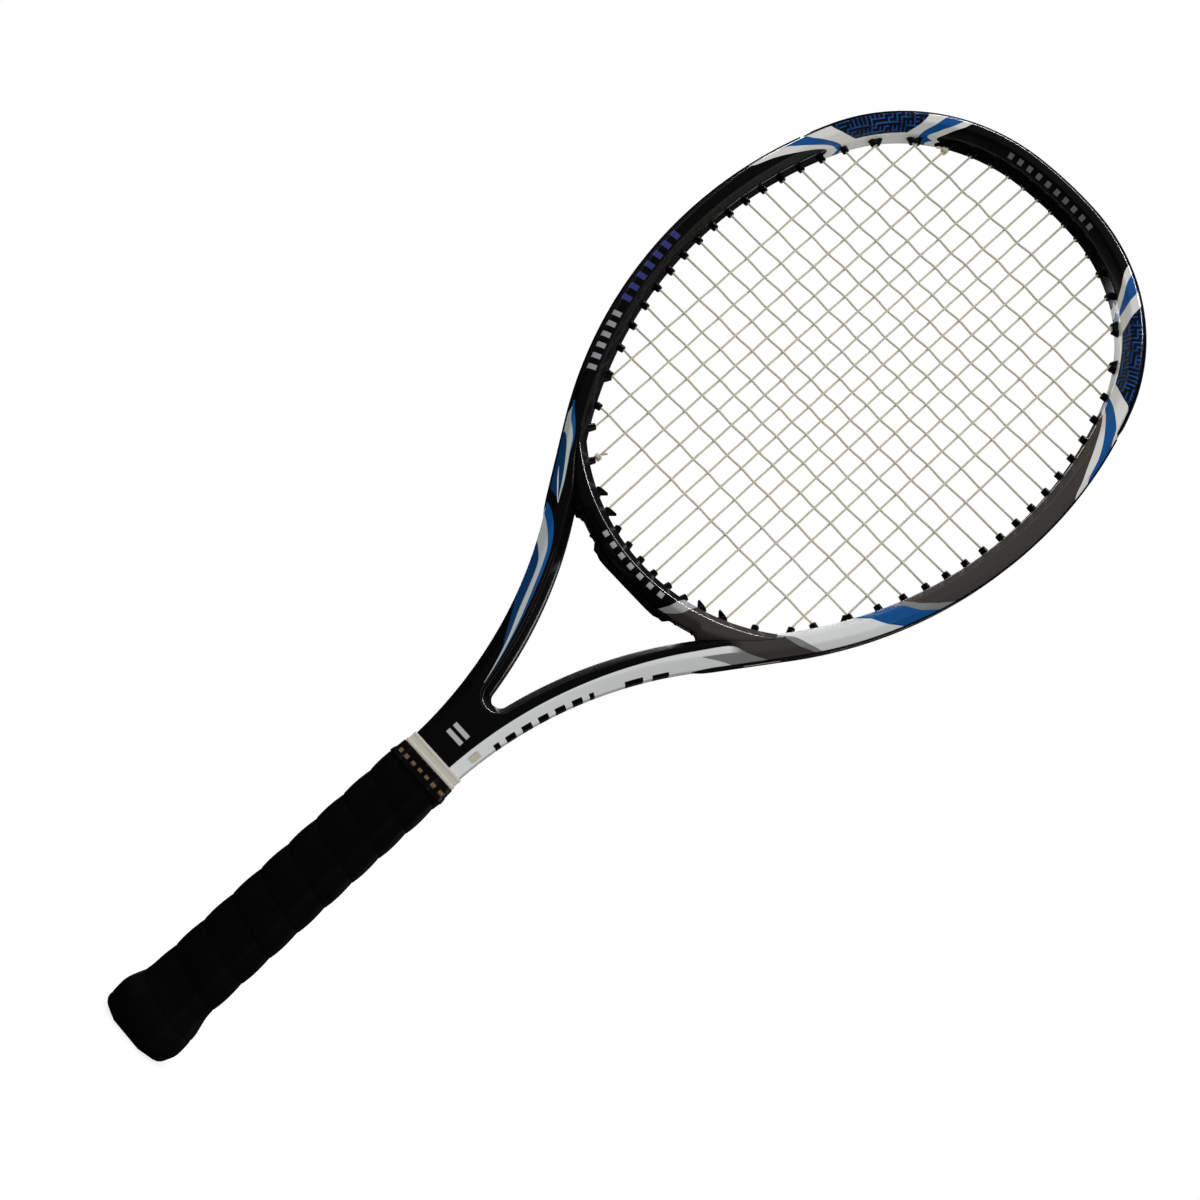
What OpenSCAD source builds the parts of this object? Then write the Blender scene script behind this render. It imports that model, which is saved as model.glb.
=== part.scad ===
// Tennis racket: hollow hairpin frame with a bonded throat bridge, bumper guard, grommet strips,
// woven strings and a wrapped octagonal handle.
// Frame of the part: +X across the head, +Y through the string bed, +Z from the butt to the tip.
// The origin is the centre of the butt cap's end face. Every length is in millimetres.

/* [Overall] */
// Length from the butt cap's end face to the outside of the bumper guard at the tip
overall_length = 685.8; // [670:0.1:700]

/* [Head outline] */
// Radius of the outer wall at the tip
tip_r = 230; // [210:1:250]
// Half of the angle that the tip arc turns through
tip_deg = 5.5; // [4:0.5:7]
// Radius of the outer wall at the shoulders
shoulder_r = 114; // [110:1:118]
// Angle that each shoulder arc turns through
shoulder_deg = 64; // [62:0.5:66]
// Radius of the outer wall along the sides
side_r = 256; // [250:1:262]
// Angle that each side arc turns through, down to the straight above the shaft
side_deg = 55; // [53:0.5:57]

/* [Frame tube] */
// Width of the head tube in the string plane
head_w = 13.2; // [12:0.1:14]
// Width of each shaft tube in the string plane
shaft_w = 16; // [14:0.1:16]
// Height of the tube through the string bed
beam_h = 24; // [22:0.5:26]
// Wall thickness of the tube
wall = 1.3; // [1.1:0.1:1.6]
// Radius of the outer wall along the shafts
shaft_r = 238; // [225:1:250]
// Half of the width of the neck just above the handle
neck_half_w = 16.2; // [16:0.1:18]
// Radius at the bottom of the throat opening
throat_r = 5.3; // [4.5:0.1:6]

/* [Throat bridge] */
// Radius of the bridge's upper face, which closes the head
bridge_r = 118; // [112:1:124]
// Height of the bridge's upper face above the butt, on the centre line
bridge_z = 351; // [349:0.5:353]
// Depth of the bridge in the string plane
bridge_w = 12.4; // [11:0.1:13]
// Fillet radius where the bridge's lower face meets a shaft
bridge_fillet = 3; // [2:0.5:4]

/* [String bed] */
// Diameter of the string
string_d = 1.3; // [1.2:0.05:1.4]
// Spacing of the main strings at the centre
main_pitch = 10.5; // [10:0.1:10.8]
// Cubic growth of the main string positions away from the centre
main_growth = 0.0326; // [0.02:0.001:0.034]
// Spacing of the cross strings at the middle of the head
cross_pitch = 12.3; // [12:0.1:12.4]
// Fifth-power growth of the cross string positions away from the middle
cross_growth = 0.00019; // [0.0001:0.00001:0.0002]
// Height of the middle cross string above the butt
cross_mid_z = 518.4; // [516:0.1:521]

/* [Grommets] */
// Outside diameter of a grommet barrel
grommet_d = 4.2; // [4:0.1:4.6]
// Diameter of the grommet's bore
grommet_bore_d = 2.7; // [2.6:0.1:3]
// Length of barrel that stands out inside the head
grommet_reach = 3.6; // [3:0.1:4.5]
// How far the bumper guard stands proud of the frame
bumper_t = 1.2; // [0.8:0.1:1.6]
// How far the side grommet strips stand proud of the frame
strip_t = 0.8; // [0.4:0.1:1]
// Depth of the throat grommet strip below the bridge, on the centre line
throat_strip_t = 1.6; // [1.2:0.1:2.4]

/* [Handle] */
// Width of the bare pallet in the string plane
pallet_w = 31; // [29:0.5:33]
// Thickness of the bare pallet through the string plane
pallet_t = 26.4; // [25:0.1:28]
// Width of the butt cap at its widest
butt_w = 38.4; // [36:0.1:41]
// Height over which the butt flares out
butt_h = 26; // [22:1:30]
// Thickness of the base grip
base_grip_t = 1.8; // [1.4:0.1:2.2]
// Thickness of the overgrip, with its overlap averaged in
overgrip_t = 1; // [0.6:0.1:1.4]
// Height of the light collar's top edge above the butt
collar_top_z = 202.6; // [201:0.1:206]
// Height of the light collar
collar_h = 6.8; // [5:0.1:7]

/* [Hidden] */
$fn = 96;
eps = 0.01;

mains = 16;
crosses = 19;
string_r = string_d / 2;
grommet_r = grommet_d / 2;
bore_r = grommet_bore_d / 2;
hole_r = grommet_r + 0.05;
hole_fn = 24;

// Section of the tube: half height of the flat side walls, and width of each sloping face
wall_flat = 5.5;
outer_slope = 3.6;
inner_slope = 3.8;
shaft_slope = 5;
crease = 0.7;
channel_half = 3.2;
channel_depth = 1.5;

// Sides of the string bed and of the string groove in the strips
groove_half = 1.5;
groove_floor = -0.5;
loop_shift = 0.72;
loop_u = groove_floor + string_r;
weave_main = 0.42;
weave_cross = 0.94;

// Outline of the outer wall, right half: arcs named by the angle of their normal above +X
tip_a = 90 - tip_deg;
shoulder_a = tip_a - shoulder_deg;
lean = side_deg - shoulder_a;
tip_c = [0, overall_length - bumper_t - tip_r];
shoulder_c = tip_c + (tip_r - shoulder_r) * dir(tip_a);
side_c = shoulder_c + (shoulder_r - side_r) * dir(shoulder_a);
side_end = side_c + side_r * dir(-lean);
shaft_top_x = neck_half_w + shaft_r * (1 - cos(lean));
straight_l = (side_end[0] - shaft_top_x) / sin(lean);
shaft_top = side_end - straight_l * [sin(lean), cos(lean)];
shaft_c = shaft_top + shaft_r * dir(-lean);
neck_z = shaft_c[1];
taper_mid = straight_l * 0.5;
taper_half = 9;

// The bridge
bridge_c = [0, bridge_z + bridge_r];
bridge_low_r = bridge_r + bridge_w;
bridge_slope = 4.2;
bridge_half_deg = 39;
throat_half_deg = 13.5;
throat_strip_half = 5;
exit_pull = 0.13;
strip_mains = 3;
bridge_mains = 5;

// Strips
bumper_a = 16.6;
strip_gap_deg = 0.5;
bumper_seam_deg = 0.02;
flange_half = 5.4;
flange_round = 0.4;
strip_tail = straight_l * 0.98;

// Handle
leg_w = 12.4;
leg_t = 20;
leg_gap = 1;
pallet_bevel = 7;
cap_floor = 2.4;
cap_wall = 1.6;
grip_start = 1;
base_grip_end = 192;
overgrip_end = 188;
tape_h = 9.6;
tape_t = 0.35;
base_tape_h = 14;
base_tape_t = 0.2;
staple_r = 0.35;

function dir(a) = [cos(a), sin(a)];
function arc_c(a) = a >= tip_a ? tip_c : a >= shoulder_a ? shoulder_c : side_c;
function arc_r(a) = a >= tip_a ? tip_r : a >= shoulder_a ? shoulder_r : side_r;
// Point of the head, u outside its outer wall, where the wall's normal is at angle a
function rim(a, u) = arc_c(a) + (arc_r(a) + u) * dir(a);
// Point of the straight between head and shaft, s below its top end and u outside the outer wall
function straight_pt(s, u) = side_end - s * [sin(lean), cos(lean)] + u * dir(-lean);

function unit(v) = v / norm(v);

// Angle of the wall's normal where the inner wall crosses x at the tip, x near the throat, or z
function tip_angle(x) =
    let (t = acos(x / (tip_r - head_w)))
    t >= tip_a ? t : acos((x - shoulder_c[0]) / (shoulder_r - head_w));
function low_angle(x) = -acos((x - side_c[0]) / (side_r - head_w));
function side_angle(z) =
    let (s = (z - shoulder_c[1]) / (shoulder_r - head_w))
    let (t = asin(min(1, max(-1, s))))
    t >= shoulder_a ? t : asin((z - side_c[1]) / (side_r - head_w));

// Distance from the centre line of main string j, counted 1 to 8 outwards
function main_x(j) = main_pitch * (j - 0.5) + main_growth * pow(j - 0.5, 3);
// Height of cross string i, counted 1 to 19 upwards
function cross_z(i) = cross_mid_z + cross_pitch * (i - 10) + cross_growth * pow(i - 10, 5);

// Ports on the right side: [mouth on the inner wall, axis outwards, length through the wall].
// Each axis halves the turn between the string and the wall's normal, and each port is shifted
// along the wall until the tip of its barrel lies on the string.
function wall_port(mouth, normal, depth, out) =
    let (axis = unit(normal + out)) [mouth, axis, depth / (axis * normal)];
function hoop_port(a, out) = wall_port(rim(a, -head_w), dir(a), head_w, out);
function nose(port) = port[0] - grommet_reach * port[1];
function top_port(x, shift = 0, n = 3) =
    let (port = hoop_port(tip_angle(x + shift), [0, 1]))
    n == 0 ? port : top_port(x, grommet_reach * port[1][0], n - 1);
function side_port(z, shift = 0, n = 3) =
    let (port = hoop_port(side_angle(z + shift), [1, 0]))
    n == 0 ? port : side_port(z, grommet_reach * port[1][1], n - 1);
function bridge_top(x) = bridge_c[1] - sqrt(pow(bridge_r, 2) - pow(x, 2));
function corner_port(x) =
    let (s = (side_end[0] - head_w * cos(lean) - x) / sin(lean))
    let (mouth = [x, max(bridge_top(x), straight_pt(s, -head_w)[1])])
    wall_port(mouth, dir(-lean), (side_end - mouth) * dir(-lean), [0, -1]);
function low_port(x, shift = 0, n = 3) =
    let (a = low_angle(x + shift))
    let (port = a > -lean ? hoop_port(a, [0, -1]) : corner_port(x + shift))
    n == 0 ? port : low_port(x, grommet_reach * port[1][0], n - 1);
function bridge_port(x) =
    let (m = -exit_pull * x / bridge_w)
    let (mouth = [x + m * grommet_reach, bridge_top(x + m * grommet_reach)])
    let (foot_x = mouth[0] + m * bridge_w)
    let (foot = [foot_x, bridge_c[1] - sqrt(pow(bridge_low_r, 2) - pow(foot_x, 2))])
    [mouth, unit(foot - mouth), norm(foot - mouth)];
function upper_port(j) = top_port(main_x(j));
function lower_port(j) = j <= bridge_mains ? bridge_port(main_x(j)) : low_port(main_x(j));
function cross_port(i) = side_port(cross_z(i));

bumper_ports = concat(
    [for (j = [1:8]) upper_port(j)],
    [for (i = [16:crosses]) cross_port(i)]
);
side_ports = concat(
    [for (i = [1:15]) cross_port(i)],
    [for (j = [6:8]) lower_port(j)]
);
throat_ports = [for (j = [1:strip_mains]) lower_port(j)];
wing_ports = [for (j = [strip_mains + 1:bridge_mains]) lower_port(j)];

// ---------------------------------------------------------------- shared shapes

// Draws its children's plan (x across, y up the racket) as X and Z, thickness along Y
module plan() {
    rotate([90, 0, 0]) children();
}

module both_sides() {
    children();
    mirror([1, 0, 0]) children();
}

// Sweeps a section about a centre in the string plane, from normal angle a0 to a1
module swept_arc(c, r, a0, a1) {
    plan()
        translate([c[0], c[1], 0])
            rotate([0, 0, a0])
                rotate_extrude(angle = a1 - a0)
                    translate([r, 0]) children();
}

// Extrudes a section up the leaning straight, from s_low to s_high below its top end
module swept_straight(s_low, s_high) {
    foot = straight_pt(s_low, 0);
    translate([foot[0], 0, foot[1]])
        rotate([0, lean, 0])
            linear_extrude(s_low - s_high) children();
}

// Cylinder between two points of the string plane
module rod(p, q, r) {
    d = q - p;
    translate([p[0], 0, p[1]])
        rotate([0, atan2(d[0], d[1]), 0])
            cylinder(h = norm(d), r = r, $fn = hole_fn);
}

// Six-cornered tube section with its outer wall at x = 0; each crease is cut back by a small flat
function tube_section(w, h, out_slope, in_slope) =
    let (
        v = wall_flat * h / beam_h,
        corners = [
            [0, -v], [0, v], [-out_slope, h / 2], [in_slope - w, h / 2],
            [-w, v], [-w, -v], [in_slope - w, -h / 2], [-out_slope, -h / 2]
        ],
        n = len(corners)
    )
    [for (k = [0:n - 1]) each [
        let (back = corners[(k + n - 1) % n] - corners[k]) corners[k] + crease * back / norm(back),
        let (on = corners[(k + 1) % n] - corners[k]) corners[k] + crease * on / norm(on)
    ]];

module head_section() {
    inner_w = head_w - channel_depth - 2 * wall;
    difference() {
        polygon(tube_section(head_w, beam_h, outer_slope, inner_slope));
        translate([-channel_depth, -channel_half]) square([channel_depth + 1, 2 * channel_half]);
        translate([-channel_depth - wall, 0])
            polygon(tube_section(inner_w, beam_h - 2 * wall, 1.7, 3.2));
    }
}

module shaft_section() {
    difference() {
        polygon(tube_section(shaft_w, beam_h, shaft_slope, inner_slope));
        translate([-wall, 0])
            polygon(tube_section(shaft_w - 2 * wall, beam_h - 2 * wall, shaft_slope - wall / 2, 3.3));
    }
}

// Solid that widens from the head's section, set in by inset, to the shaft's section
module taper(inset, extra) {
    hull() {
        swept_straight(taper_mid - taper_half - extra + eps, taper_mid - taper_half - extra)
            translate([-inset, 0])
                polygon(tube_section(head_w - 2 * inset, beam_h - 2 * inset, outer_slope, inner_slope));
        swept_straight(taper_mid + taper_half + extra, taper_mid + taper_half + extra - eps)
            translate([-inset, 0])
                polygon(tube_section(shaft_w - 2 * inset, beam_h - 2 * inset, shaft_slope, inner_slope));
    }
}

// Hole for one grommet barrel, a little longer than the wall it crosses
module port_hole(port, r) {
    rod(port[0] - 2 * port[1], port[0] + (port[2] + 2) * port[1], r);
}

// ---------------------------------------------------------------- frame

module frame_half() {
    swept_arc(shoulder_c, shoulder_r, shoulder_a, tip_a) head_section();
    swept_arc(side_c, side_r, -lean, shoulder_a) head_section();
    swept_straight(taper_mid - taper_half, 0) head_section();
    difference() {
        taper(0, 0);
        taper(wall + 0.6, 1);
    }
    swept_straight(straight_l, taper_mid + taper_half) shaft_section();
    swept_arc(shaft_c, shaft_r, 180 - lean, 180) mirror([1, 0]) shaft_section();
}

// Leg of the hairpin inside the handle
module leg(w, t, z0, z1) {
    translate([leg_gap / 2 + (leg_w - w) / 2, -t / 2, z0]) cube([w, t, z1 - z0]);
}

// Centre of the throat's rounded foot, which is tangent to both shafts, and the tangent point
throat_z = neck_z + sqrt(pow(shaft_r + shaft_w + throat_r, 2) - pow(shaft_c[0], 2));
throat_touch = [0, throat_z] + throat_r * unit(shaft_c - [0, throat_z]);

// Web that closes the neck between the two shafts, with a rounded and countersunk foot of the throat
// that cuts slightly into the shafts' inner walls
module neck_web() {
    half = neck_half_w - shaft_w / 2;
    foot_r = throat_r + 0.04;
    plan()
        difference() {
            linear_extrude(beam_h, center = true)
                polygon([
                    [-half, neck_z + 1], [half, neck_z + 1],
                    [half + 1.6, neck_z + 26], throat_touch + [shaft_w / 2, 0], throat_touch,
                    [-throat_touch[0], throat_touch[1]], [-throat_touch[0] - shaft_w / 2, throat_touch[1]],
                    [-half - 1.6, neck_z + 26]
                ]);
            translate([0, throat_z]) cylinder(h = beam_h + 2, r = foot_r, center = true);
            for (side = [0, 180])
                translate([0, throat_z])
                    rotate([side, 0, 0])
                        translate([0, 0, wall_flat])
                            cylinder(
                                h = beam_h / 2 - wall_flat + 1,
                                r1 = foot_r,
                                r2 = foot_r + inner_slope * (1 + 1 / (beam_h / 2 - wall_flat))
                            );
        }
}

module hairpin_frame() {
    color([0.06, 0.06, 0.07])
        difference() {
            union() {
                both_sides() {
                    frame_half();
                    leg(leg_w, leg_t, cap_floor + 2, neck_z + 6);
                }
                swept_arc(tip_c, tip_r, tip_a, 180 - tip_a) head_section();
                neck_web();
            }
            both_sides() {
                leg(leg_w - 2 * wall, leg_t - 2 * wall, 0, neck_z - 4);
                for (port = concat(bumper_ports, side_ports)) port_hole(port, hole_r);
                swept_straight(strip_tail + 0.3, taper_mid - taper_half - 1)
                    translate([-channel_depth, -channel_half]) square([6, 2 * channel_half]);
            }
        }
}

// Everything outside the frame's inner wall near the bridge, which is bonded to that wall
module bonded_wall() {
    swept_arc(side_c, side_r - head_w, -lean, -10) translate([0, -30]) square([60, 60]);
    plan()
        linear_extrude(60, center = true)
            polygon([
                straight_pt(-eps, 60), straight_pt(-eps, -head_w),
                straight_pt(taper_mid - taper_half, -head_w), straight_pt(taper_mid + taper_half, -shaft_w),
                straight_pt(straight_l + 30, -shaft_w), straight_pt(straight_l + 30, 60)
            ]);
}

// Wedge of material under each end of the bridge, hollowed by a fillet tangent to bridge and shaft
module bridge_gusset() {
    up = [sin(lean), cos(lean)];
    out = dir(-lean);
    base = side_end - (shaft_w + bridge_fillet) * out - bridge_c;
    reach = sqrt(pow(base * up, 2) - base * base + pow(bridge_low_r + bridge_fillet, 2));
    c = bridge_c + base - (base * up + reach) * up;
    to_bridge = unit(bridge_c - c);
    plan()
        linear_extrude(2 * wall_flat + 4, center = true)
            difference() {
                polygon([
                    c, c + (bridge_fillet + 2) * to_bridge,
                    c + (3.3 * bridge_fillet + 4) * unit(to_bridge + out), c + (bridge_fillet + 2) * out
                ]);
                translate(c) circle(r = bridge_fillet);
            }
}

module throat_bridge() {
    color([0.07, 0.07, 0.08])
        difference() {
            union() {
                swept_arc(bridge_c, bridge_low_r, 270 - bridge_half_deg, 270 + bridge_half_deg)
                    polygon(tube_section(bridge_w, beam_h, bridge_slope, bridge_slope));
                both_sides() bridge_gusset();
            }
            swept_arc(bridge_c, bridge_low_r - wall, 270 - bridge_half_deg / 2, 270 + bridge_half_deg / 2)
                polygon(tube_section(bridge_w - 2 * wall, beam_h - 2 * wall, 3.4, 3.4));
            both_sides() {
                bonded_wall();
                for (port = concat(throat_ports, wing_ports, [lower_port(6)])) port_hole(port, hole_r);
            }
        }
}

// ---------------------------------------------------------------- bumper and grommets

// Barrel through the frame, from its nose inside the head to foot beyond the outer wall
module barrel(port, foot) {
    rod(nose(port), port[0] + (port[2] + foot) * port[1], grommet_r);
}

module barrel_bore(port) {
    rod(nose(port) - port[1], port[0] + (port[2] + 4) * port[1], bore_r);
}

module strip_groove() {
    translate([groove_floor, -groove_half]) square([6, 2 * groove_half]);
}

module bumper_section() {
    skirt = 8.6;
    lap = outer_slope * (skirt - wall_flat) / (beam_h / 2 - wall_flat);
    difference() {
        polygon([
            [bumper_t, -4.8], [bumper_t, 4.8], [bumper_t - lap, skirt], [-lap, skirt],
            [0, wall_flat], [0, channel_half], [-channel_depth, channel_half],
            [-channel_depth, -channel_half], [0, -channel_half], [0, -wall_flat],
            [-lap, -skirt], [bumper_t - lap, -skirt]
        ]);
        strip_groove();
    }
}

module bumper_guard() {
    color([0.03, 0.03, 0.03])
        difference() {
            union() {
                both_sides() {
                    swept_arc(shoulder_c, shoulder_r, shoulder_a, tip_a) bumper_section();
                    swept_arc(side_c, side_r, bumper_a, shoulder_a - bumper_seam_deg) bumper_section();
                    for (port = bumper_ports) barrel(port, -channel_depth + 0.4);
                }
                swept_arc(tip_c, tip_r, tip_a, 180 - tip_a) bumper_section();
            }
            both_sides() for (port = bumper_ports) barrel_bore(port);
        }
}

module strip_section() {
    half = channel_half - 0.1;
    difference() {
        polygon([
            [-channel_depth, -half], [-channel_depth, half], [0, half], [0, flange_half],
            [strip_t - flange_round, flange_half], [strip_t, flange_half - flange_round],
            [strip_t, flange_round - flange_half], [strip_t - flange_round, -flange_half],
            [0, -flange_half], [0, -half]
        ]);
        strip_groove();
    }
}

module grommet_strip_right() {
    color([0.04, 0.04, 0.04])
        difference() {
            union() {
                swept_arc(side_c, side_r, -lean, bumper_a - strip_gap_deg) strip_section();
                swept_straight(strip_tail, 0) strip_section();
                for (port = side_ports) barrel(port, -channel_depth + 0.4);
            }
            for (port = side_ports) barrel_bore(port);
        }
}

module grommet_strip_left() {
    mirror([1, 0, 0]) grommet_strip_right();
}

// Strip under the bridge: its lower face runs flatter than the bridge, so it is deepest near its ends
module throat_grommet_strip() {
    flat_half = 21;
    low_z = bridge_c[1] - bridge_low_r - throat_strip_t;
    end = bridge_c + bridge_low_r * dir(270 + throat_half_deg);
    color([0.04, 0.04, 0.04])
        difference() {
            union() {
                plan()
                    linear_extrude(2 * throat_strip_half, center = true)
                        difference() {
                            polygon([
                                [-end[0], end[1] + 4], [-end[0], end[1]], [-flat_half - 3, low_z + 0.8],
                                [-flat_half, low_z], [flat_half, low_z], [flat_half + 3, low_z + 0.8],
                                [end[0], end[1]], [end[0], end[1] + 4]
                            ]);
                            translate(bridge_c) circle(r = bridge_low_r, $fn = 240);
                        }
                both_sides() for (port = throat_ports) barrel(port, 0.6);
            }
            both_sides() for (port = throat_ports) barrel_bore(port);
            translate([-23.5, -groove_half, low_z - 1])
                cube([47, 2 * groove_half, 1 + string_d]);
        }
}

// Single grommet with a wing that leans over beside the string, towards the middle
module winged_grommet(port) {
    wing = grommet_r + 3.4;
    difference() {
        union() {
            barrel(port, 0);
            translate([port[0][0], 0, port[0][1]])
                plan()
                    linear_extrude(1.8, center = true)
                        polygon([[0, 0.5], [0, grommet_reach], [-wing, grommet_reach + 1.2], [-grommet_r, 0.8]]);
            rod(port[0] + (port[2] - 0.2) * port[1], port[0] + (port[2] + 0.8) * port[1], grommet_r + 0.8);
        }
        barrel_bore(port);
    }
}

module winged_grommets() {
    color([0.04, 0.04, 0.04]) both_sides() for (port = wing_ports) winged_grommet(port);
}

// ---------------------------------------------------------------- strings

// Cord of constant radius along a list of 3-D points
module cord(path, r, sides = 6) {
    n = len(path);
    tangents = [for (k = [0:n - 1])
        let (d = path[min(n - 1, k + 1)] - path[max(0, k - 1)]) d / norm(d)];
    rings = [for (k = [0:n - 1])
        let (e = cross(tangents[k], [0, 1, 0]), e1 = e / norm(e), e2 = cross(tangents[k], e1))
        for (m = [0:sides - 1])
            path[k] + r * (cos(360 * m / sides) * e1 + sin(360 * m / sides) * e2)];
    skin = [for (k = [0:n - 2], m = [0:sides - 1])
        let (a = k * sides + m, b = k * sides + (m + 1) % sides)
        each [[a, a + sides, b], [b, a + sides, b + sides]]];
    caps = [for (m = [1:sides - 2])
        each [[0, m, m + 1], [(n - 1) * sides, (n - 1) * sides + m + 1, (n - 1) * sides + m]]];
    polyhedron(rings, concat(skin, caps));
}

function reversed(v) = [for (k = [len(v) - 1:-1:0]) v[k]];
function lift(p, y) = [p[0], y, p[1]];
function flip(v) = [for (p = v) [-p[0], p[1], p[2]]];
function over(n, i) = (n + i) % 2 == 0 ? 1 : -1;

// Column n, 0 to 15 from left to right, is main string j on the left or right side
function column_j(n) = n < 8 ? 8 - n : n - 7;
function port_exit(port, u, y) = lift(port[0] + (port[2] + u) * port[1], y);

// One main string from its lower exit to its upper exit, as on the right side
function main_run(n) =
    let (
        j = column_j(n), x = main_x(j), low = lower_port(j), top = upper_port(j),
        sunk = j == 8 ? -4 : j <= strip_mains ? 0.2 : j <= bridge_mains ? string_r + 0.9 : loop_u
    )
    concat(
        [port_exit(low, sunk, j == 8 ? 0 : loop_shift), lift(nose(low), 0)],
        [for (i = [1:crosses])
            if (cross_z(i) > nose(low)[1] + 2 && cross_z(i) < nose(top)[1] - 2)
                [x, weave_main * over(n, i), cross_z(i)]],
        [lift(nose(top), 0), port_exit(top, loop_u, loop_shift)]
    );

// Middle of the loop that joins a column to its neighbour round the outside of the tip
function tip_loop(n) =
    let (j = column_j(n), a = (tip_angle(main_x(j)) + tip_angle(main_x(j + (n < 8 ? -1 : 1)))) / 2)
    [lift(rim(a, loop_u), loop_shift)];

function main_column(n) =
    let (
        up = main_run(n),
        sided = n < 8 ? flip(up) : up,
        loop = n < 8 ? flip(tip_loop(n)) : tip_loop(n)
    )
    n % 2 == 0 ? concat(sided, loop) : reversed(sided);

module main_strings() {
    color([0.86, 0.84, 0.74]) cord([for (n = [0:mains - 1]) each main_column(n)], string_r);
}

// One cross string from left to right, with the loop that follows it outside the frame
function cross_run(i) =
    let (z = cross_z(i), port = cross_port(i))
    let (end = [lift(nose(port), 0), port_exit(port, loop_u, -loop_shift)])
    concat(
        flip(reversed(end)),
        [for (n = [0:mains - 1])
            let (x = (n < 8 ? -1 : 1) * main_x(column_j(n)))
            if (abs(x) < nose(port)[0] - 2) [x, -weave_cross * over(n, i), z]],
        end
    );
function side_loop(i) =
    let (a = (side_angle(cross_z(i)) + side_angle(cross_z(i + 1))) / 2)
    [lift(rim(a, loop_u), -loop_shift)];
function cross_pass(i) =
    let (run = cross_run(i), loop = i < crosses ? side_loop(i) : [])
    i % 2 == 1 ? concat(run, loop) : concat(reversed(run), flip(loop));

module cross_strings() {
    color([0.86, 0.84, 0.74]) cord([for (i = [1:crosses]) each cross_pass(i)], string_r);
}

// Tie-off knot on main string 6: two turns round the string and a trimmed tail
module knot(x, z, tail) {
    turn_r = string_d + 0.16;
    translate([x, 0, z]) {
        rotate_extrude($fn = 32)
            for (k = [-0.4, 0.4]) translate([turn_r, k * string_d]) circle(r = string_r, $fn = 16);
        translate([0, -turn_r, 0])
            rotate([0, tail, 0])
                rotate([14, 0, 0]) cylinder(h = 8, r = string_r, $fn = 16);
    }
}

module string_knots() {
    knot_x = -main_x(6);
    low_z = nose(lower_port(6))[1] + string_d + 0.6;
    top_z = nose(upper_port(6))[1] - string_d - 0.6;
    color([0.88, 0.86, 0.76]) {
        knot(knot_x, top_z, -42);
        knot(knot_x, low_z, 30);
    }
}

// ---------------------------------------------------------------- handle

function octagon(w, t, c) = [
    [w / 2, c - t / 2], [w / 2, t / 2 - c], [w / 2 - c, t / 2], [c - w / 2, t / 2],
    [-w / 2, t / 2 - c], [-w / 2, c - t / 2], [c - w / 2, -t / 2], [w / 2 - c, -t / 2]
];

module octagon_slab(extra, grow, z, h) {
    k = 2 * extra + grow;
    translate([0, 0, z])
        linear_extrude(h) polygon(octagon(pallet_w + k, pallet_t + k, pallet_bevel + k * 0.3));
}

// Outside of the bare handle, flared at the butt, grown outwards by extra, from z0 to z1
module handle_body(extra, z0, z1) {
    flare = butt_w - pallet_w;
    octagon_slab(extra, 0, z0 + 4, z1 - z0 - 4);
    hull() {
        octagon_slab(extra, flare - 3.4, z0, eps);
        octagon_slab(extra, flare, z0 + 2.2, eps);
        octagon_slab(extra, flare, 9, eps);
        octagon_slab(extra, flare * 0.45, 17, eps);
        octagon_slab(extra, 0, butt_h, eps);
    }
}

// Wire staple driven inwards: crown along X, legs along -Z of its own frame
module staple(crown, depth) {
    for (x = [-crown / 2, crown / 2])
        translate([x, 0, -depth]) cylinder(h = depth + staple_r, r = staple_r, $fn = 16);
    translate([-crown / 2, 0, 0]) rotate([0, 90, 0]) cylinder(h = crown, r = staple_r, $fn = 16);
}

module all_staples() {
    cap_y = (pallet_t + (butt_w - pallet_w) * 0.3) / 2;
    for (side = [0, 180])
        rotate([0, 0, side]) translate([0, -cap_y, 19.5]) rotate([90, 0, 0]) staple(9, 7);
    translate([pallet_w / 2 + 1.6, 0, 16]) rotate([0, 0, 90]) rotate([90, 0, 0]) staple(8, 6);
}

module handle_pallet() {
    color([0.25, 0.25, 0.26])
        difference() {
            octagon_slab(0, 0, cap_floor, neck_z - cap_floor);
            both_sides() leg(leg_w, leg_t, cap_floor + 2, neck_z + 1);
            all_staples();
        }
}

module butt_cap() {
    color([0.05, 0.05, 0.05])
        difference() {
            intersection() {
                handle_body(0, 0, butt_h + 4);
                translate([-40, -40, 0]) cube([80, 80, butt_h - 1.5]);
            }
            octagon_slab(0, 0, cap_floor, butt_h);
            all_staples();
        }
}

module butt_staples() {
    color([0.7, 0.7, 0.72]) all_staples();
}

module base_grip() {
    color([0.10, 0.10, 0.11])
        difference() {
            handle_body(base_grip_t, grip_start, base_grip_end);
            handle_body(0, 0, base_grip_end + 5);
            all_staples();
        }
}

module base_grip_tape() {
    z0 = base_grip_end - base_tape_h;
    color([0.16, 0.16, 0.17])
        difference() {
            octagon_slab(base_grip_t + base_tape_t, 0, z0, base_tape_h + 1.5);
            octagon_slab(base_grip_t, 0, z0 - 1, base_tape_h + 1);
            octagon_slab(0, 0, z0, base_tape_h + 3);
        }
}

module overgrip() {
    inner = base_grip_t + base_tape_t;
    color([0.03, 0.03, 0.035])
        difference() {
            handle_body(inner + overgrip_t, grip_start + 0.2, overgrip_end);
            handle_body(base_grip_t, grip_start, base_grip_end);
            octagon_slab(inner, 0, base_grip_end - base_tape_h, base_tape_h);
        }
}

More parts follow.
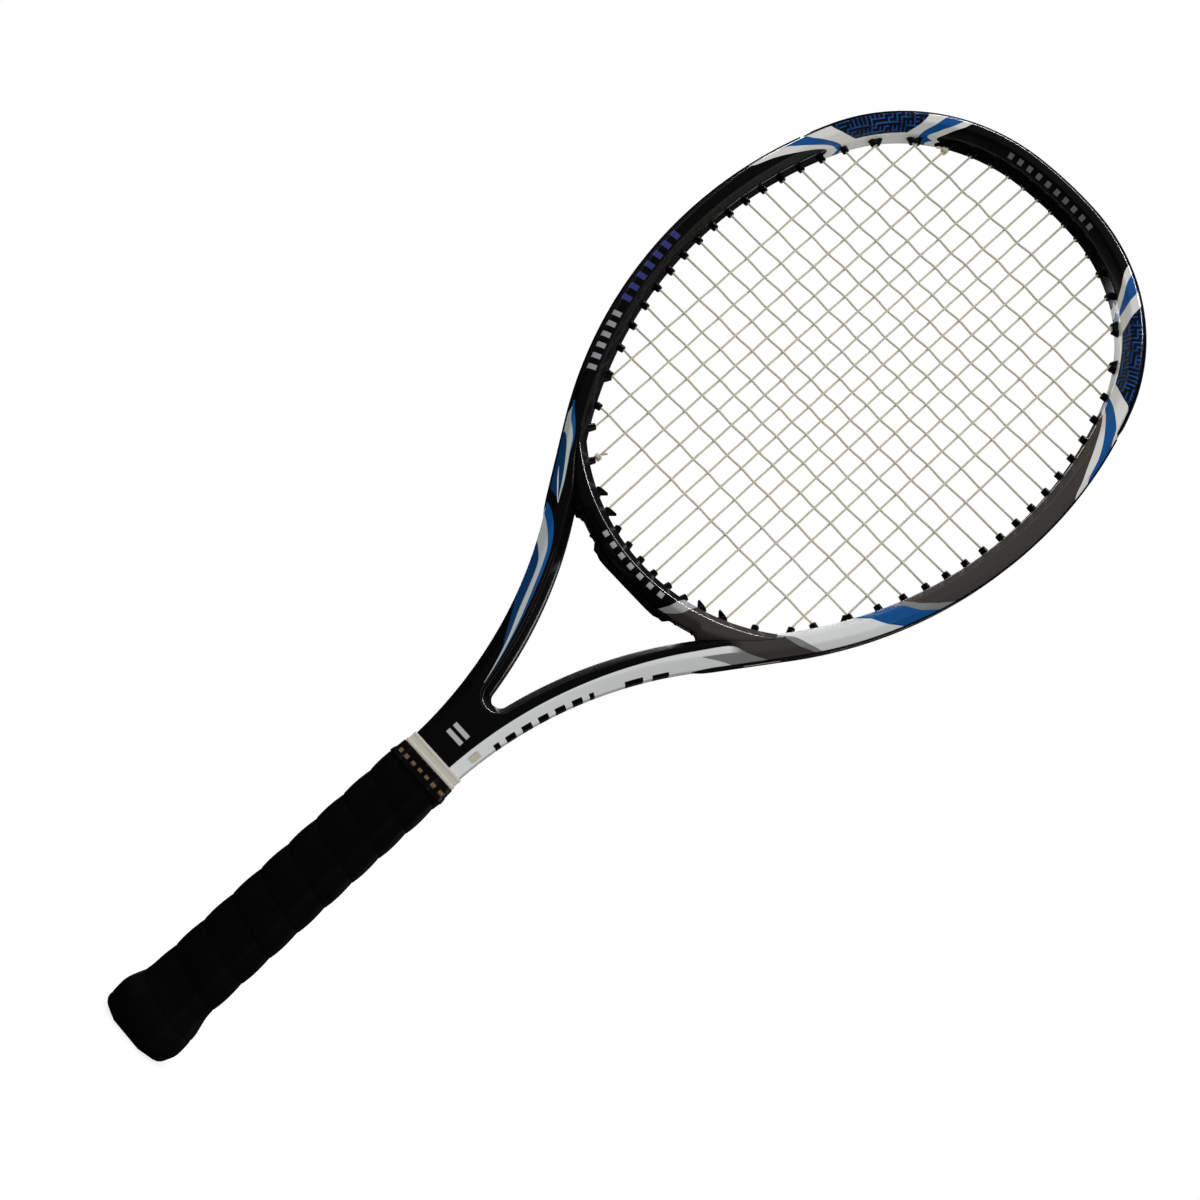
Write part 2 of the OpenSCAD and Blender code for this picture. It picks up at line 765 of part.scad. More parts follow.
module finishing_tape() {
    top_z = collar_top_z - collar_h;
    low_z = top_z - tape_h;
    inner = base_grip_t + base_tape_t;
    color([0.04, 0.04, 0.04])
        difference() {
            union() {
                octagon_slab(inner + overgrip_t + tape_t, 0, low_z, overgrip_end + tape_t - low_z);
                octagon_slab(inner + tape_t, 0, overgrip_end, top_z - overgrip_end);
            }
            octagon_slab(inner + overgrip_t, 0, low_z - 1, overgrip_end - low_z + 1);
            octagon_slab(inner, 0, overgrip_end - 1, base_grip_end + 1.5 - overgrip_end + 1);
            octagon_slab(0, 0, base_grip_end, 10);
        }
}

// Light collar round the neck, with a shallow trough between its two lips
module grip_collar() {
    z0 = collar_top_z - collar_h;
    neck = [
        [neck_half_w + 0.15, -wall_flat], [neck_half_w + 0.15, wall_flat],
        [neck_half_w - shaft_slope + 0.15, beam_h / 2 + 0.02],
        [shaft_slope - neck_half_w - 0.15, beam_h / 2 + 0.02],
        [-neck_half_w - 0.15, wall_flat], [-neck_half_w - 0.15, -wall_flat],
        [shaft_slope - neck_half_w - 0.15, -beam_h / 2 - 0.02],
        [neck_half_w - shaft_slope + 0.15, -beam_h / 2 - 0.02]
    ];
    color([0.80, 0.78, 0.72])
        difference() {
            union() {
                translate([0, 0, z0]) linear_extrude(collar_h) polygon(octagon(33.8, 25.6, 6.2));
                translate([0, 0, z0]) linear_extrude(1.4) polygon(octagon(34.8, 26.6, 6.4));
                translate([0, 0, collar_top_z - 1.2]) linear_extrude(1.2) polygon(octagon(34.4, 26.2, 6.3));
            }
            translate([0, 0, z0 - 1]) linear_extrude(collar_h + 2) polygon(neck);
        }
}

// Blank label on the outer sloping face of the right shaft
module shaft_label() {
    label_z = 216;
    slope_deg = atan2(shaft_slope, beam_h / 2 - wall_flat);
    wall_x = shaft_c[0] - sqrt(pow(shaft_r, 2) - pow(label_z - neck_z, 2));
    mid_y = (beam_h / 2 + wall_flat) / 2;
    tilt = asin((label_z - neck_z) / shaft_r);
    color([0.85, 0.82, 0.70])
        translate([wall_x - shaft_slope / 2, -mid_y, label_z])
            rotate([0, tilt, -slope_deg])
                translate([0, -2.4, -3]) cube([0.15, 4.8, 6]);
}

hairpin_frame();
throat_bridge();
bumper_guard();
grommet_strip_left();
grommet_strip_right();
throat_grommet_strip();
winged_grommets();
main_strings();
cross_strings();
string_knots();
handle_pallet();
butt_cap();
butt_staples();
base_grip();
base_grip_tape();
overgrip();
finishing_tape();
grip_collar();
shaft_label();
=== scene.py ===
"""Looks of the tennis racket: a painted hollow frame, woven strings, grommets and a wrapped grip.

Lengths are in millimetres in the racket's own axes (X across, Y through the string bed, Z up from the
butt) until a mesh is made, where they become metres in the row frame.
"""

from math import acos, asin, atan2, cos, degrees, exp, hypot, pi, radians, sin, sqrt

import bmesh
import bpy
import numpy as np
from mathutils import Matrix, Vector


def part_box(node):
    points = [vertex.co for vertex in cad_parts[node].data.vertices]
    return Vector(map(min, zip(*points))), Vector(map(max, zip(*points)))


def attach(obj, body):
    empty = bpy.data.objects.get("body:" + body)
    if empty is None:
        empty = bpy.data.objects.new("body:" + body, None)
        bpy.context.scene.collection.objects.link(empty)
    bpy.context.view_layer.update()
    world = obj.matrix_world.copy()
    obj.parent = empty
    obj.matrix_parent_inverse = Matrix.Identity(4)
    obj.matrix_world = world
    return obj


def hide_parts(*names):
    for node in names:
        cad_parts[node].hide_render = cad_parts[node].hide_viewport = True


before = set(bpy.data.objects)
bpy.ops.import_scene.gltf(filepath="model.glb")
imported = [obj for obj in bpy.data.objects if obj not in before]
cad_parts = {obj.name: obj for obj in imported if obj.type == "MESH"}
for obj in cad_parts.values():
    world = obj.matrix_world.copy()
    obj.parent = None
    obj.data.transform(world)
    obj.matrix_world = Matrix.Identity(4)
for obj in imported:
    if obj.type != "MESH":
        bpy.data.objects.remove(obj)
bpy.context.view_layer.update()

MM = 0.001
COLLAR_TOP = 202.6
collar_low, collar_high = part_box("grip_collar")
# Where the racket's own origin lies in the row frame
ORIGIN = np.array([
    (collar_low.x + collar_high.x) / 2,
    (collar_low.y + collar_high.y) / 2,
    collar_high.z - COLLAR_TOP * MM,
])


# ---------- outline of the frame

LENGTH, BUMPER_T = 685.8, 1.2
# Arcs of the outer wall from the tip down: radius and turn
TIP_R, TIP_DEG = 230.0, 5.5
SHOULDER_R, SHOULDER_DEG = 114.0, 64.0
SIDE_R, SIDE_DEG = 256.0, 55.0
# Section of the tube: widths on head and shaft, half height, and half height of the flat walls
HEAD_W, SHAFT_W = 13.2, 16.0
HALF_H, FLAT = 12.0, 5.5
# How far each bevel reaches in from its wall, and the edges' rounding
INNER_SLOPE, HEAD_SLOPE, SHAFT_SLOPE, BRIDGE_SLOPE = 3.8, 3.6, 5.6, 4.2
EDGE_REACH = 1.15
# Run where the head's section starts to turn into the shaft's, and over how much
SHAFT_FROM, SHAFT_BLEND = 413.6, 18
# Shafts, the throat between them, and the bridge
SHAFT_R, NECK_HALF, THROAT_R = 238.0, 16.2, 5.3
BRIDGE_R, BRIDGE_W, BRIDGE_Z, FILLET = 118.0, 12.4, 351.0, 3.0


def heading(deg):
    return np.array([cos(radians(deg)), sin(radians(deg))])


def unit(v):
    return v / np.linalg.norm(v)


TIP_A = 90 - TIP_DEG
SHOULDER_A = TIP_A - SHOULDER_DEG
LEAN = SIDE_DEG - SHOULDER_A
TIP_C = np.array([0, LENGTH - BUMPER_T - TIP_R])
SHOULDER_C = TIP_C + (TIP_R - SHOULDER_R) * heading(TIP_A)
SIDE_C = SHOULDER_C + (SHOULDER_R - SIDE_R) * heading(SHOULDER_A)
SIDE_END = SIDE_C + SIDE_R * heading(-LEAN)
DOWN = -np.array([sin(radians(LEAN)), cos(radians(LEAN))])
STRAIGHT = (SIDE_END[0] - NECK_HALF - SHAFT_R * (1 - cos(radians(LEAN)))) / -DOWN[0]
SHAFT_C = SIDE_END + STRAIGHT * DOWN + SHAFT_R * heading(-LEAN)
BRIDGE_C = np.array([0, BRIDGE_Z + BRIDGE_R])
THROAT = np.array([0, SHAFT_C[1] + sqrt((SHAFT_R + SHAFT_W + THROAT_R) ** 2 - SHAFT_C[0] ** 2)])

# Run of the outer wall from the middle of the tip: ends of the tip, shoulder, side, straight and shaft
RUN_TIP = TIP_R * radians(TIP_DEG)
RUN_SHOULDER = RUN_TIP + SHOULDER_R * radians(SHOULDER_DEG)
RUN_SIDE = RUN_SHOULDER + SIDE_R * radians(SIDE_DEG)
RUN_STRAIGHT = RUN_SIDE + STRAIGHT
RUN_NECK = RUN_STRAIGHT + SHAFT_R * radians(LEAN)
RUN_END = RUN_NECK + 5


def wall_at(run):
    """Point of the outer wall of the right half at a run from the tip, and the wall's outward normal."""
    if run <= RUN_TIP:
        n = heading(90 - degrees(run / TIP_R))
        return TIP_C + TIP_R * n, n
    if run <= RUN_SHOULDER:
        n = heading(TIP_A - degrees((run - RUN_TIP) / SHOULDER_R))
        return SHOULDER_C + SHOULDER_R * n, n
    if run <= RUN_SIDE:
        n = heading(SHOULDER_A - degrees((run - RUN_SHOULDER) / SIDE_R))
        return SIDE_C + SIDE_R * n, n
    if run <= RUN_STRAIGHT:
        return SIDE_END + (run - RUN_SIDE) * DOWN, heading(-LEAN)
    if run <= RUN_NECK:
        n = heading(-LEAN + degrees((run - RUN_STRAIGHT) / SHAFT_R))
        return SHAFT_C - SHAFT_R * n, n
    return np.array([NECK_HALF, SHAFT_C[1] - (run - RUN_NECK)]), np.array([1.0, 0.0])


def smooth(x, a, b):
    """Eases from 0 at a to 1 at b."""
    t = min(1.0, max(0.0, (x - a) / (b - a)))
    return t * t * (3 - 2 * t)


# ---------- meshes


def add(name, data):
    """New object in the scene."""
    obj = bpy.data.objects.new(name, data)
    bpy.context.scene.collection.objects.link(obj)
    return obj


class Shape:
    """Collects grids of points into one mesh. Marks are numbers kept at each face corner for the paint."""

    def __init__(self):
        self.points, self.faces, self.marks = [], [], {"run": [], "across": []}
        self.count = 0

    def grid(self, rings, caps=False, run=0.0, across=0.0):
        """Tube through rings of points; caps close its ends."""
        rings = np.asarray(rings, float)
        n, m = rings.shape[:2]
        base = self.count
        self.points.append(rings.reshape(-1, 3))
        for key, value in (("run", run), ("across", across)):
            self.marks[key].append(np.broadcast_to(np.asarray(value, float), (n, m)).reshape(-1))
        self.count += n * m
        for near in range(base, base + (n - 1) * m, m):
            far = near + m
            for j in range(m):
                k = (j + 1) % m
                self.faces.append([near + j, near + k, far + k, far + j])
        if caps:
            self.faces.append([base + j for j in range(m)][::-1])
            self.faces.append([base + (n - 1) * m + j for j in range(m)])

    def build(self, name, slot, node, drop_middle=False):
        """Mesh object in a slot's finish that stands in for a CAD node, with points at the same place merged.
        drop_middle leaves out the faces in the racket's middle plane, where two halves meet."""
        points = np.concatenate(self.points)
        marks = {key: np.concatenate(value) for key, value in self.marks.items()}
        kept, place = np.unique(np.round(points, 4), axis=0, return_inverse=True)
        place = place.reshape(-1)
        faces, corners = [], []
        for face in self.faces:
            ids = [place[p] for p in face]
            keep = [q for q in range(len(ids)) if ids[q] != ids[q - 1]]
            if len(set(ids[q] for q in keep)) < 3:
                continue
            if drop_middle and all(abs(kept[ids[q]][0]) < 1e-3 for q in keep):
                continue
            faces.append([int(ids[q]) for q in keep])
            corners.extend(face[q] for q in keep)
        mesh = bpy.data.meshes.new(name)
        mesh.from_pydata((kept * MM + ORIGIN).tolist(), [], faces)
        for key, value in marks.items():
            layer = mesh.attributes.new(key, "FLOAT", "CORNER")
            layer.data.foreach_set("value", value[corners].astype(np.float32))
        work = bmesh.new()
        work.from_mesh(mesh)
        bmesh.ops.recalc_face_normals(work, faces=work.faces)
        work.to_mesh(mesh)
        work.free()
        mesh.shade_smooth()
        mesh.materials.append(FINISH[slot])
        obj = add(name, mesh)
        normals = obj.modifiers.new("even_normals", "WEIGHTED_NORMAL")
        normals.keep_sharp = False
        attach(obj, "root")
        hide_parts(node)
        return obj


def bend(a, corner, b, steps):
    """Points of a smooth curve from a to b that heads for the corner."""
    return [(1 - t) ** 2 * a + 2 * t * (1 - t) * corner + t ** 2 * b for t in steps]


def rounded(corners, reach, steps=4, closed=False):
    """Polyline of (a, b) or (a, b, mark) points, each corner rounded over reach to both sides."""
    pts = [np.array(c, float) for c in corners]
    n = len(pts)
    out = []
    for k, p in enumerate(pts):
        if not closed and k in (0, n - 1):
            out.append(p)
            continue
        before, after = pts[k - 1], pts[(k + 1) % n]
        r = reach[k] if isinstance(reach, (list, tuple)) else reach
        a, b = (p + (q - p) * min(0.48, r / max(1e-9, np.linalg.norm((q - p)[:2]))) for q in (before, after))
        out += bend(a, p, b, np.linspace(0, 1, steps))
    return out


def lift(point, y):
    """3-D point from a point (x, z) of the string bed's plane."""
    return np.array([point[0], y, point[1]])


def mirrored(rings):
    out = np.array(rings, float)
    out[..., 0] *= -1
    return out


def circle(centre, a, b, radius, sides):
    """Ring of points round a centre, in the plane of two unit vectors."""
    turn = np.linspace(0, 2 * pi, sides, endpoint=False)[:, None]
    return centre + radius * (np.cos(turn) * a + np.sin(turn) * b)


def tube(shape, path, radius, sides=8):
    """Round cord along a list of 3-D points, closed at both ends."""
    path = np.array(path, float)
    tangents = np.gradient(path, axis=0)
    tangents /= np.linalg.norm(tangents, axis=1)[:, None]
    up = np.cross(tangents[0], [0.0, 1.0, 0.0])
    rings = []
    for p, t in zip(path, tangents):
        up = up - t * (up @ t)
        up /= np.linalg.norm(up)
        rings.append(circle(p, up, np.cross(t, up), radius, sides))
    shape.grid(rings, caps=True)


# ---------- materials


def linear(r, g, b):
    """Colour from 0 to 255 values as they look on a screen."""
    shares = [c / 255 for c in (r, g, b)]
    return tuple(c / 12.92 if c < 0.04045 else ((c + 0.055) / 1.055) ** 2.4 for c in shares) + (1.0,)


BLACK = linear(7, 7, 8)
WHITE = linear(240, 239, 235)
BLUE = linear(8, 88, 158)
NAVY = linear(4, 9, 34)
STROKE = linear(22, 92, 168)
DEEP_BLUE = linear(12, 62, 112)
SHADE = linear(196, 204, 204)
SILVER = linear(240, 244, 243)
GUNMETAL = linear(72, 68, 64)
GREY = linear(140, 143, 143)
IVORY = linear(238, 234, 212)


class Graph:
    """A node tree, with short calls for its maths."""

    def __init__(self, tree):
        self.tree = tree

    def node(self, kind):
        return self.tree.nodes.new("ShaderNode" + kind)

    def wire(self, socket, value):
        if isinstance(value, bpy.types.NodeSocket):
            self.tree.links.new(value, socket)
        else:
            socket.default_value = value

    def math(self, kind, a, b=0.0, c=0.0, clamp=False):
        node = self.node("Math")
        node.operation, node.use_clamp = kind, clamp
        for socket, value in zip(node.inputs, (a, b, c)):
            self.wire(socket, value)
        return node.outputs[0]


# Materials by the record's slot whose finish they show
FINISH = {}


class Paint(Graph):
    """The node material of a slot."""

    def __init__(self, slot, roughness=0.4, coat=0.0, metallic=0.0, specular=0.5):
        FINISH[slot] = bpy.data.materials.new(slot)
        FINISH[slot].use_nodes = True
        super().__init__(FINISH[slot].node_tree)
        self.shader = self.tree.nodes["Principled BSDF"]
        self.put("Roughness", roughness)
        self.put("Coat Weight", coat)
        self.put("Coat Roughness", 0.04)
        self.put("Metallic", metallic)
        self.put("Specular IOR Level", specular)

    def put(self, name, value):
        self.wire(self.shader.inputs[name], value)

    def mark(self, name):
        node = self.node("Attribute")
        node.attribute_name = name
        return node.outputs["Fac"]

    def place(self):
        """The racket's own coordinates in millimetres."""
        node = self.node("TexCoord")
        split = self.node("SeparateXYZ")
        self.wire(split.inputs[0], node.outputs["Object"])
        return [
            self.math("DIVIDE", self.math("SUBTRACT", value, float(start)), MM)
            for value, start in zip(split.outputs, ORIGIN)
        ]

    def both(self, *masks):
        """Product of masks."""
        out = masks[0]
        for mask in masks[1:]:
            out = self.math("MULTIPLY", out, mask)
        return out

    def after(self, value, edge, soft=0.25):
        """1 where value is past edge."""
        gap = self.math("SUBTRACT", value, edge)
        return self.math("MULTIPLY_ADD", gap, 1 / soft, 0.5, clamp=True)

    def before(self, value, edge, soft=0.25):
        return self.math("SUBTRACT", 1.0, self.after(value, edge, soft))

    def within(self, value, low, high, soft=0.25):
        return self.both(self.after(value, low, soft), self.before(value, high, soft))

    def stripes(self, value, pitch, share):
        """1 over the first share of every pitch."""
        return self.math("LESS_THAN", self.math("FRACT", self.math("DIVIDE", value, pitch)), share)

    def edge(self, x, points, x_span, y_span):
        """Height of a smooth line through a few points at x."""
        (x0, x1), (y0, y1) = x_span, y_span
        node = self.node("FloatCurve")
        line = node.mapping.curves[0]
        spots = [((a - x0) / (x1 - x0), (b - y0) / (y1 - y0)) for a, b in sorted(points)]
        while len(line.points) < len(spots):
            line.points.new(0.5, 0.5)
        for point, spot in zip(line.points, spots):
            point.location = spot
            point.handle_type = "AUTO_CLAMPED"
        node.mapping.update()
        share = self.math("DIVIDE", self.math("SUBTRACT", x, x0), x1 - x0, clamp=True)
        self.wire(node.inputs["Value"], share)
        return self.math("MULTIPLY_ADD", node.outputs[0], y1 - y0, y0)

    def mix(self, mask, a, b):
        node = self.node("Mix")
        node.data_type = "RGBA"
        for socket, value in zip((node.inputs[0], node.inputs[6], node.inputs[7]), (mask, a, b)):
            self.wire(socket, value)
        return node.outputs[2]

    def noise(self, scale, detail=2.0):
        node = self.node("TexNoise")
        node.inputs["Scale"].default_value = scale
        node.inputs["Detail"].default_value = detail
        place = self.node("TexCoord")
        self.wire(node.inputs["Vector"], place.outputs["Object"])
        return node.outputs["Fac"]

    def bump(self, height, strength, distance):
        node = self.node("Bump")
        node.inputs["Strength"].default_value = strength
        node.inputs["Distance"].default_value = distance
        self.wire(node.inputs["Height"], height)
        self.put("Normal", node.outputs[0])


def plain(slot, colour, roughness, grain=0.0, scale=900.0, **kind):
    """Even material with a little grain in its tone and surface."""
    paint = Paint(slot, roughness, **kind)
    cloud = paint.noise(scale)
    darker = tuple(c * 0.8 for c in colour[:3]) + (1.0,)
    paint.put("Base Color", paint.mix(cloud, darker, colour))
    if grain:
        paint.bump(cloud, grain, 0.0002)


class Livery:
    """Colours laid one over another on a side of the racket, by run and by distance across the section."""

    def __init__(self, paint, run, across, colour):
        self.paint, self.run, self.across, self.colour = paint, run, across, colour

    def lay(self, tone, *masks):
        """Lays a colour where every mask is 1."""
        self.colour = self.paint.mix(self.paint.both(*masks), self.colour, tone)

    def past(self, points):
        """1 beyond a seam through a few points (across, run)."""
        return self.paint.after(self.run, self.seam(points))

    def seam(self, points):
        return self.paint.edge(self.across, points, (0, 34), (0, 600))

    def bands(self, *edges):
        """Colours in turn along the run, each from its seam on."""
        for tone, points in edges:
            self.lay(tone, self.past(points))

    def maze(self, cell=2.7):
        """Mask of a square labyrinth: every post joins one of two neighbours, picked by a fixed hash."""
        paint, calc = self.paint, self.paint.math
        a, b = calc("DIVIDE", self.run, cell), calc("DIVIDE", self.across, cell)
        spot, dice = paint.node("CombineXYZ"), paint.node("TexWhiteNoise")
        paint.wire(spot.inputs[0], calc("FLOOR", a))
        paint.wire(spot.inputs[1], calc("FLOOR", b))
        dice.noise_dimensions = "2D"
        paint.wire(dice.inputs["Vector"], spot.outputs[0])
        pick = calc("LESS_THAN", dice.outputs["Value"], 0.5)
        in_a, in_b = (calc("LESS_THAN", calc("FRACT", value), 0.3) for value in (a, b))
        out_a, out_b, other = (calc("SUBTRACT", 1.0, mask) for mask in (in_a, in_b, pick))
        lines = calc("ADD", paint.both(in_a, in_b), paint.both(out_a, in_b, pick))
        return calc("ADD", lines, paint.both(in_a, out_b, other))

    def labyrinth(self, first, last):
        """Field of blue lines on navy between two seams, dimmer here and there."""
        paint = self.paint
        glow = paint.math("MULTIPLY_ADD", paint.noise(160.0), 2.4, -0.5, clamp=True)
        lines = paint.mix(paint.both(self.maze(), glow), NAVY, STROKE)
        end = self.seam(last)
        self.lay(lines, self.past(first), paint.before(self.run, end), paint.before(self.across, 23.75))

    def blade(self, tone, start, end, upper, lower):
        """Tapered stripe from start to end between two lines of points (run, across)."""
        runs = [run for run, _ in upper + lower]
        span = (min(runs) - 1, max(runs) + 1)
        top, low = (self.paint.edge(self.run, points, span, (0, 30)) for points in (upper, lower))
        self.lay(tone, self.paint.within(self.across, top, low), self.paint.within(self.run, start, end, 0.4))

    def ticks(self, tone, start, end, pitch, low, high):
        """Row of plain bars, in place of lettering."""
        paint = self.paint
        bars = paint.stripes(paint.math("SUBTRACT", self.run, start), pitch, 0.45)
        self.lay(tone, bars, paint.within(self.run, start, end), paint.within(self.across, low, high))

    def finish(self):
        """Lacquer with a trace of fine metal flake."""
        fleck = self.paint.noise(2600.0)
        self.lay(GREY, self.paint.math("MULTIPLY", fleck, 0.008))
        self.paint.put("Base Color", self.colour)


def left_colours(paint, run, across):
    """Black side: white and blue chevrons round a navy labyrinth, and blades on the shaft."""
    side = Livery(paint, run, across, BLACK)
    side.bands(
        (WHITE, [(0, 64), (7.5, 64), (13.75, 67.5), (20.6, 76.9), (26.9, 83.5), (32.5, 76)]),
        (BLUE, [(0, 69.1), (7.5, 69.1), (13.75, 72.9), (20.6, 83.1), (25.6, 90), (33, 80)]),
        (WHITE, [(0, 79.6), (7.5, 79.6), (16.75, 86.3), (23.1, 94), (27, 95.5), (32, 94)]),
    )
    side.labyrinth([(0, 89.5), (7.5, 90), (16.75, 95.3), (24, 104)],
                   [(0, 148.8), (7.5, 151.6), (11, 151.5), (16.75, 146.9), (24, 138)])
    side.bands(
        (BLUE, [(0, 162.5), (7.5, 167.8), (10.9, 167.5), (16.75, 159.4), (23.1, 150), (26.9, 147.5)]),
        (WHITE, [(0, 187), (7.5, 188.5), (12.5, 178.5), (16.75, 168.5), (23.1, 154.5), (26.5, 152)]),
        (BLACK, [(0, 202.5), (8.25, 205.4), (11.4, 203.8), (13.75, 191.3), (16.75, 180), (23.1, 160),
                 (25.6, 157.8), (32, 161)]),
    )
    faded = paint.both(paint.after(run, 285, 30), paint.before(run, 370, 20), paint.within(across, 17.2, 23))
    side.lay(NAVY, faded, side.maze())
    for blade in (
        (BLUE, 383, 415, [(383, 6.5), (393, 7), (400, 11), (405, 12.6), (415, 13.9)],
         [(383, 8), (392, 11.8), (400, 13.9), (407, 14.5), (415, 14.1)]),
        (SHADE, 387, 443, [(387, 7), (394, 2.5), (402, 2.5), (405, 9), (412, 11.6), (443, 12.9)],
         [(387, 7.4), (393, 9), (400, 12.2), (407, 13.8), (425, 13.9), (443, 13.3)]),
        (DEEP_BLUE, 401, 441, [(401, 4.5), (405, 1.5), (428, 1.5), (441, 12)],
         [(401, 5), (405, 9.2), (412, 11.2), (441, 12.4)]),
        (SILVER, 422, 443, [(422, 7.5), (430, 8.6), (443, 13)], [(422, 7.8), (432, 10.4), (443, 13.2)]),
        (BLUE, 441, 540, [(441, 2.5), (449, 3), (460, 11), (540, 16.7)],
         [(441, 3), (446, 8.5), (452, 12.5), (462, 15.2), (475, 16), (500, 15.9), (540, 17)]),
        (SHADE, 448, 545,
         [(448, 3), (453, 1.5), (463, 1.5), (470, 8), (478, 11.5), (500, 12), (520, 14.5), (545, 16.9)],
         [(448, 3.5), (455, 8.5), (463, 12.6), (470, 14.1), (490, 14.4), (510, 15.3), (545, 17.1)]),
        (DEEP_BLUE, 463, 524, [(463, 1.5), (488, 1.5), (505, 7.5), (524, 14.4)],
         [(463, 3), (470, 8), (478, 11.5), (500, 12), (524, 14.6)]),
    ):
        side.blade(*blade)
    # Painted highlights: two thin brownish lines along the shaft's crown, standing in for light caught on its
    # creases
    for line in (17.7, 19.7):
        fine = paint.within(across, line - 0.16, line + 0.16, 0.1)
        side.lay(linear(58, 50, 42), fine, paint.after(run, 468, 6), paint.before(run, 560, 30))
    # Painted highlight: a light grey streak on the left shaft's inner wall, standing in for the light caught
    # there
    wall_sheen = paint.both(paint.after(across, 25.2, 0.5), paint.before(across, 28.4, 0.6),
                      paint.after(run, 472, 3), paint.before(run, 532, 10))
    side.lay(GREY, paint.math("MULTIPLY", wall_sheen, 0.8))
    return side.colour


def right_colours(paint, run, across):
    """Gunmetal side: the same chevrons, a blue and white joint, and a light outer face on the shaft."""
    side = Livery(paint, run, across, BLACK)
    side.bands(
        (WHITE, [(0, 60), (7.5, 60.6), (13.75, 64.4), (20.6, 75), (26.9, 82), (31.9, 75)]),
        (BLUE, [(0, 65), (7.5, 66.3), (13.75, 70.6), (20.6, 81.3), (26.3, 88.8), (32, 82)]),
        (WHITE, [(0, 74.4), (7.5, 76.9), (13.75, 81.9), (20.6, 88.1), (27, 93)]),
    )
    side.labyrinth([(0, 84.8), (7.5, 86.5), (13.75, 91.3), (24, 103)],
                   [(0, 151.8), (7.5, 151.6), (13.75, 148.8), (24, 137.5)])
    side.bands(
        (BLUE, [(0, 176), (7, 172.3), (10.9, 166.3), (16.75, 156.9), (24.3, 148.1), (27.5, 145.6)]),
        (WHITE, [(0, 201), (7, 198), (10.9, 187), (13.75, 177), (20.6, 161), (24.3, 155)]),
        (GUNMETAL, [(0, 213), (8.25, 209.4), (12.5, 198.8), (16.75, 180), (23.1, 160.6), (26.3, 157.8)]),
        (GREY, [(0, 298), (5, 303.8), (11.4, 314.4), (15.75, 323), (24, 328)]),
        (BLUE, [(0, 307), (5, 313), (11.4, 323), (20.75, 333.8), (26, 338)]),
        (SILVER, [(0, 329), (5, 334.8), (15.75, 348.8), (24, 358)]),
        (GREY, [(0, 377), (5.4, 380.9), (13.2, 388.7), (18.2, 395.9), (25, 404)]),
        (GUNMETAL, [(0, 380), (5.4, 384.8), (12, 393), (22.7, 405)]),
    )
    bevel = 12.1
    outer = paint.before(across, bevel)
    side.lay(GREY, outer, side.past([(0, 404), (6.3, 412.6), (bevel, 421.4)]))
    side.lay(SILVER, outer, side.past([(0, 424), (6.3, 432.6), (bevel, 444.2)]))
    top = paint.edge(run, [(421, 12.5), (431, 16), (450, 15.5), (480, 14.5), (540, 13.3), (600, 12.6)],
                     (420, 601), (0, 30))
    on_shaft = paint.after(run, 425, 8)
    side.lay(BLACK, on_shaft, paint.after(across, top))
    side.lay(SILVER, on_shaft, paint.within(across, bevel, top))
    for start, end, high in ((462, 471, 5.6), (476, 486, 6.2)):
        side.lay(BLACK, paint.within(run, start, end), paint.within(across, -2, high))
    side.lay(BLACK, paint.within(run, 503, 562), paint.within(across, -2, 6.6), paint.stripes(run, 9.8, 0.6))
    return side.colour


def frame_lacquer():
    """Painted lacquer: each half's colours, rows of bars and two bars on the neck."""
    paint = Paint("frame_lacquer", roughness=0.2, coat=0.25, specular=0.35)
    signed, across = paint.mark("run"), paint.mark("across")
    run = paint.math("ABSOLUTE", signed)
    right = paint.math("GREATER_THAN", signed, 0.0)
    colour = paint.mix(right, left_colours(paint, run, across), right_colours(paint, run, across))
    whole = Livery(paint, signed, across, colour)
    whole.ticks(linear(120, 122, 124), -37, 31, 7.2, 17.8, 21.4)
    whole.ticks(linear(56, 60, 130), -318, -262, 8.0, 9, 16)
    whole.ticks(linear(160, 162, 166), -364, -323, 7.0, 9.5, 15.5)
    x, _, z = paint.place()
    middle = paint.before(paint.math("ABSOLUTE", x), 5.2)
    front = paint.both(paint.after(across, 12.5), paint.after(run, 560), middle)
    for low, high in ((214, 216.6), (218.6, 221.2)):
        whole.lay(linear(196, 198, 200), front, paint.within(z, low, high))
    whole.finish()


def bridge_lacquer():
    """Black lacquer that turns light grey and then gunmetal towards the right. Its run mark is an angle."""
    paint = Paint("bridge_lacquer", roughness=0.2, coat=0.25, specular=0.35)
    angle, across = paint.mark("run"), paint.mark("across")
    bar = Livery(paint, angle, across, BLACK)
    for tone, points in (
        (linear(178, 182, 181), [(0, 14.5), (20, 12.3), (33, 9)]),
        (GUNMETAL, [(0, 18), (20.5, 15.8), (33, 10.5)]),
    ):
        bar.lay(tone, paint.after(angle, paint.edge(across, points, (0, 40), (0, 30)), 0.1))
    bar.ticks(linear(176, 178, 180), -13, 9, 3.4, 20.4, 23.6)
    bar.finish()


def tape_band():
    """Black tape with a broken gold line."""
    paint = Paint("tape", roughness=0.42, specular=0.35)
    x, _, z = paint.place()
    mask = paint.both(paint.stripes(x, 5.0, 0.5), paint.within(z, 189.6, 191.8))
    paint.put("Base Color", paint.mix(mask, linear(8, 8, 9), linear(122, 98, 62)))


def grip_wrap():
    """Black overgrip with a porous surface."""
    paint = Paint("overgrip", roughness=0.6, specular=0.22)
    pores = paint.noise(2200.0, 3.0)
    cloud = paint.noise(60.0)
    paint.put("Base Color", paint.mix(cloud, linear(3, 3, 4), linear(8, 8, 9)))
    paint.bump(pores, 0.35, 0.0002)


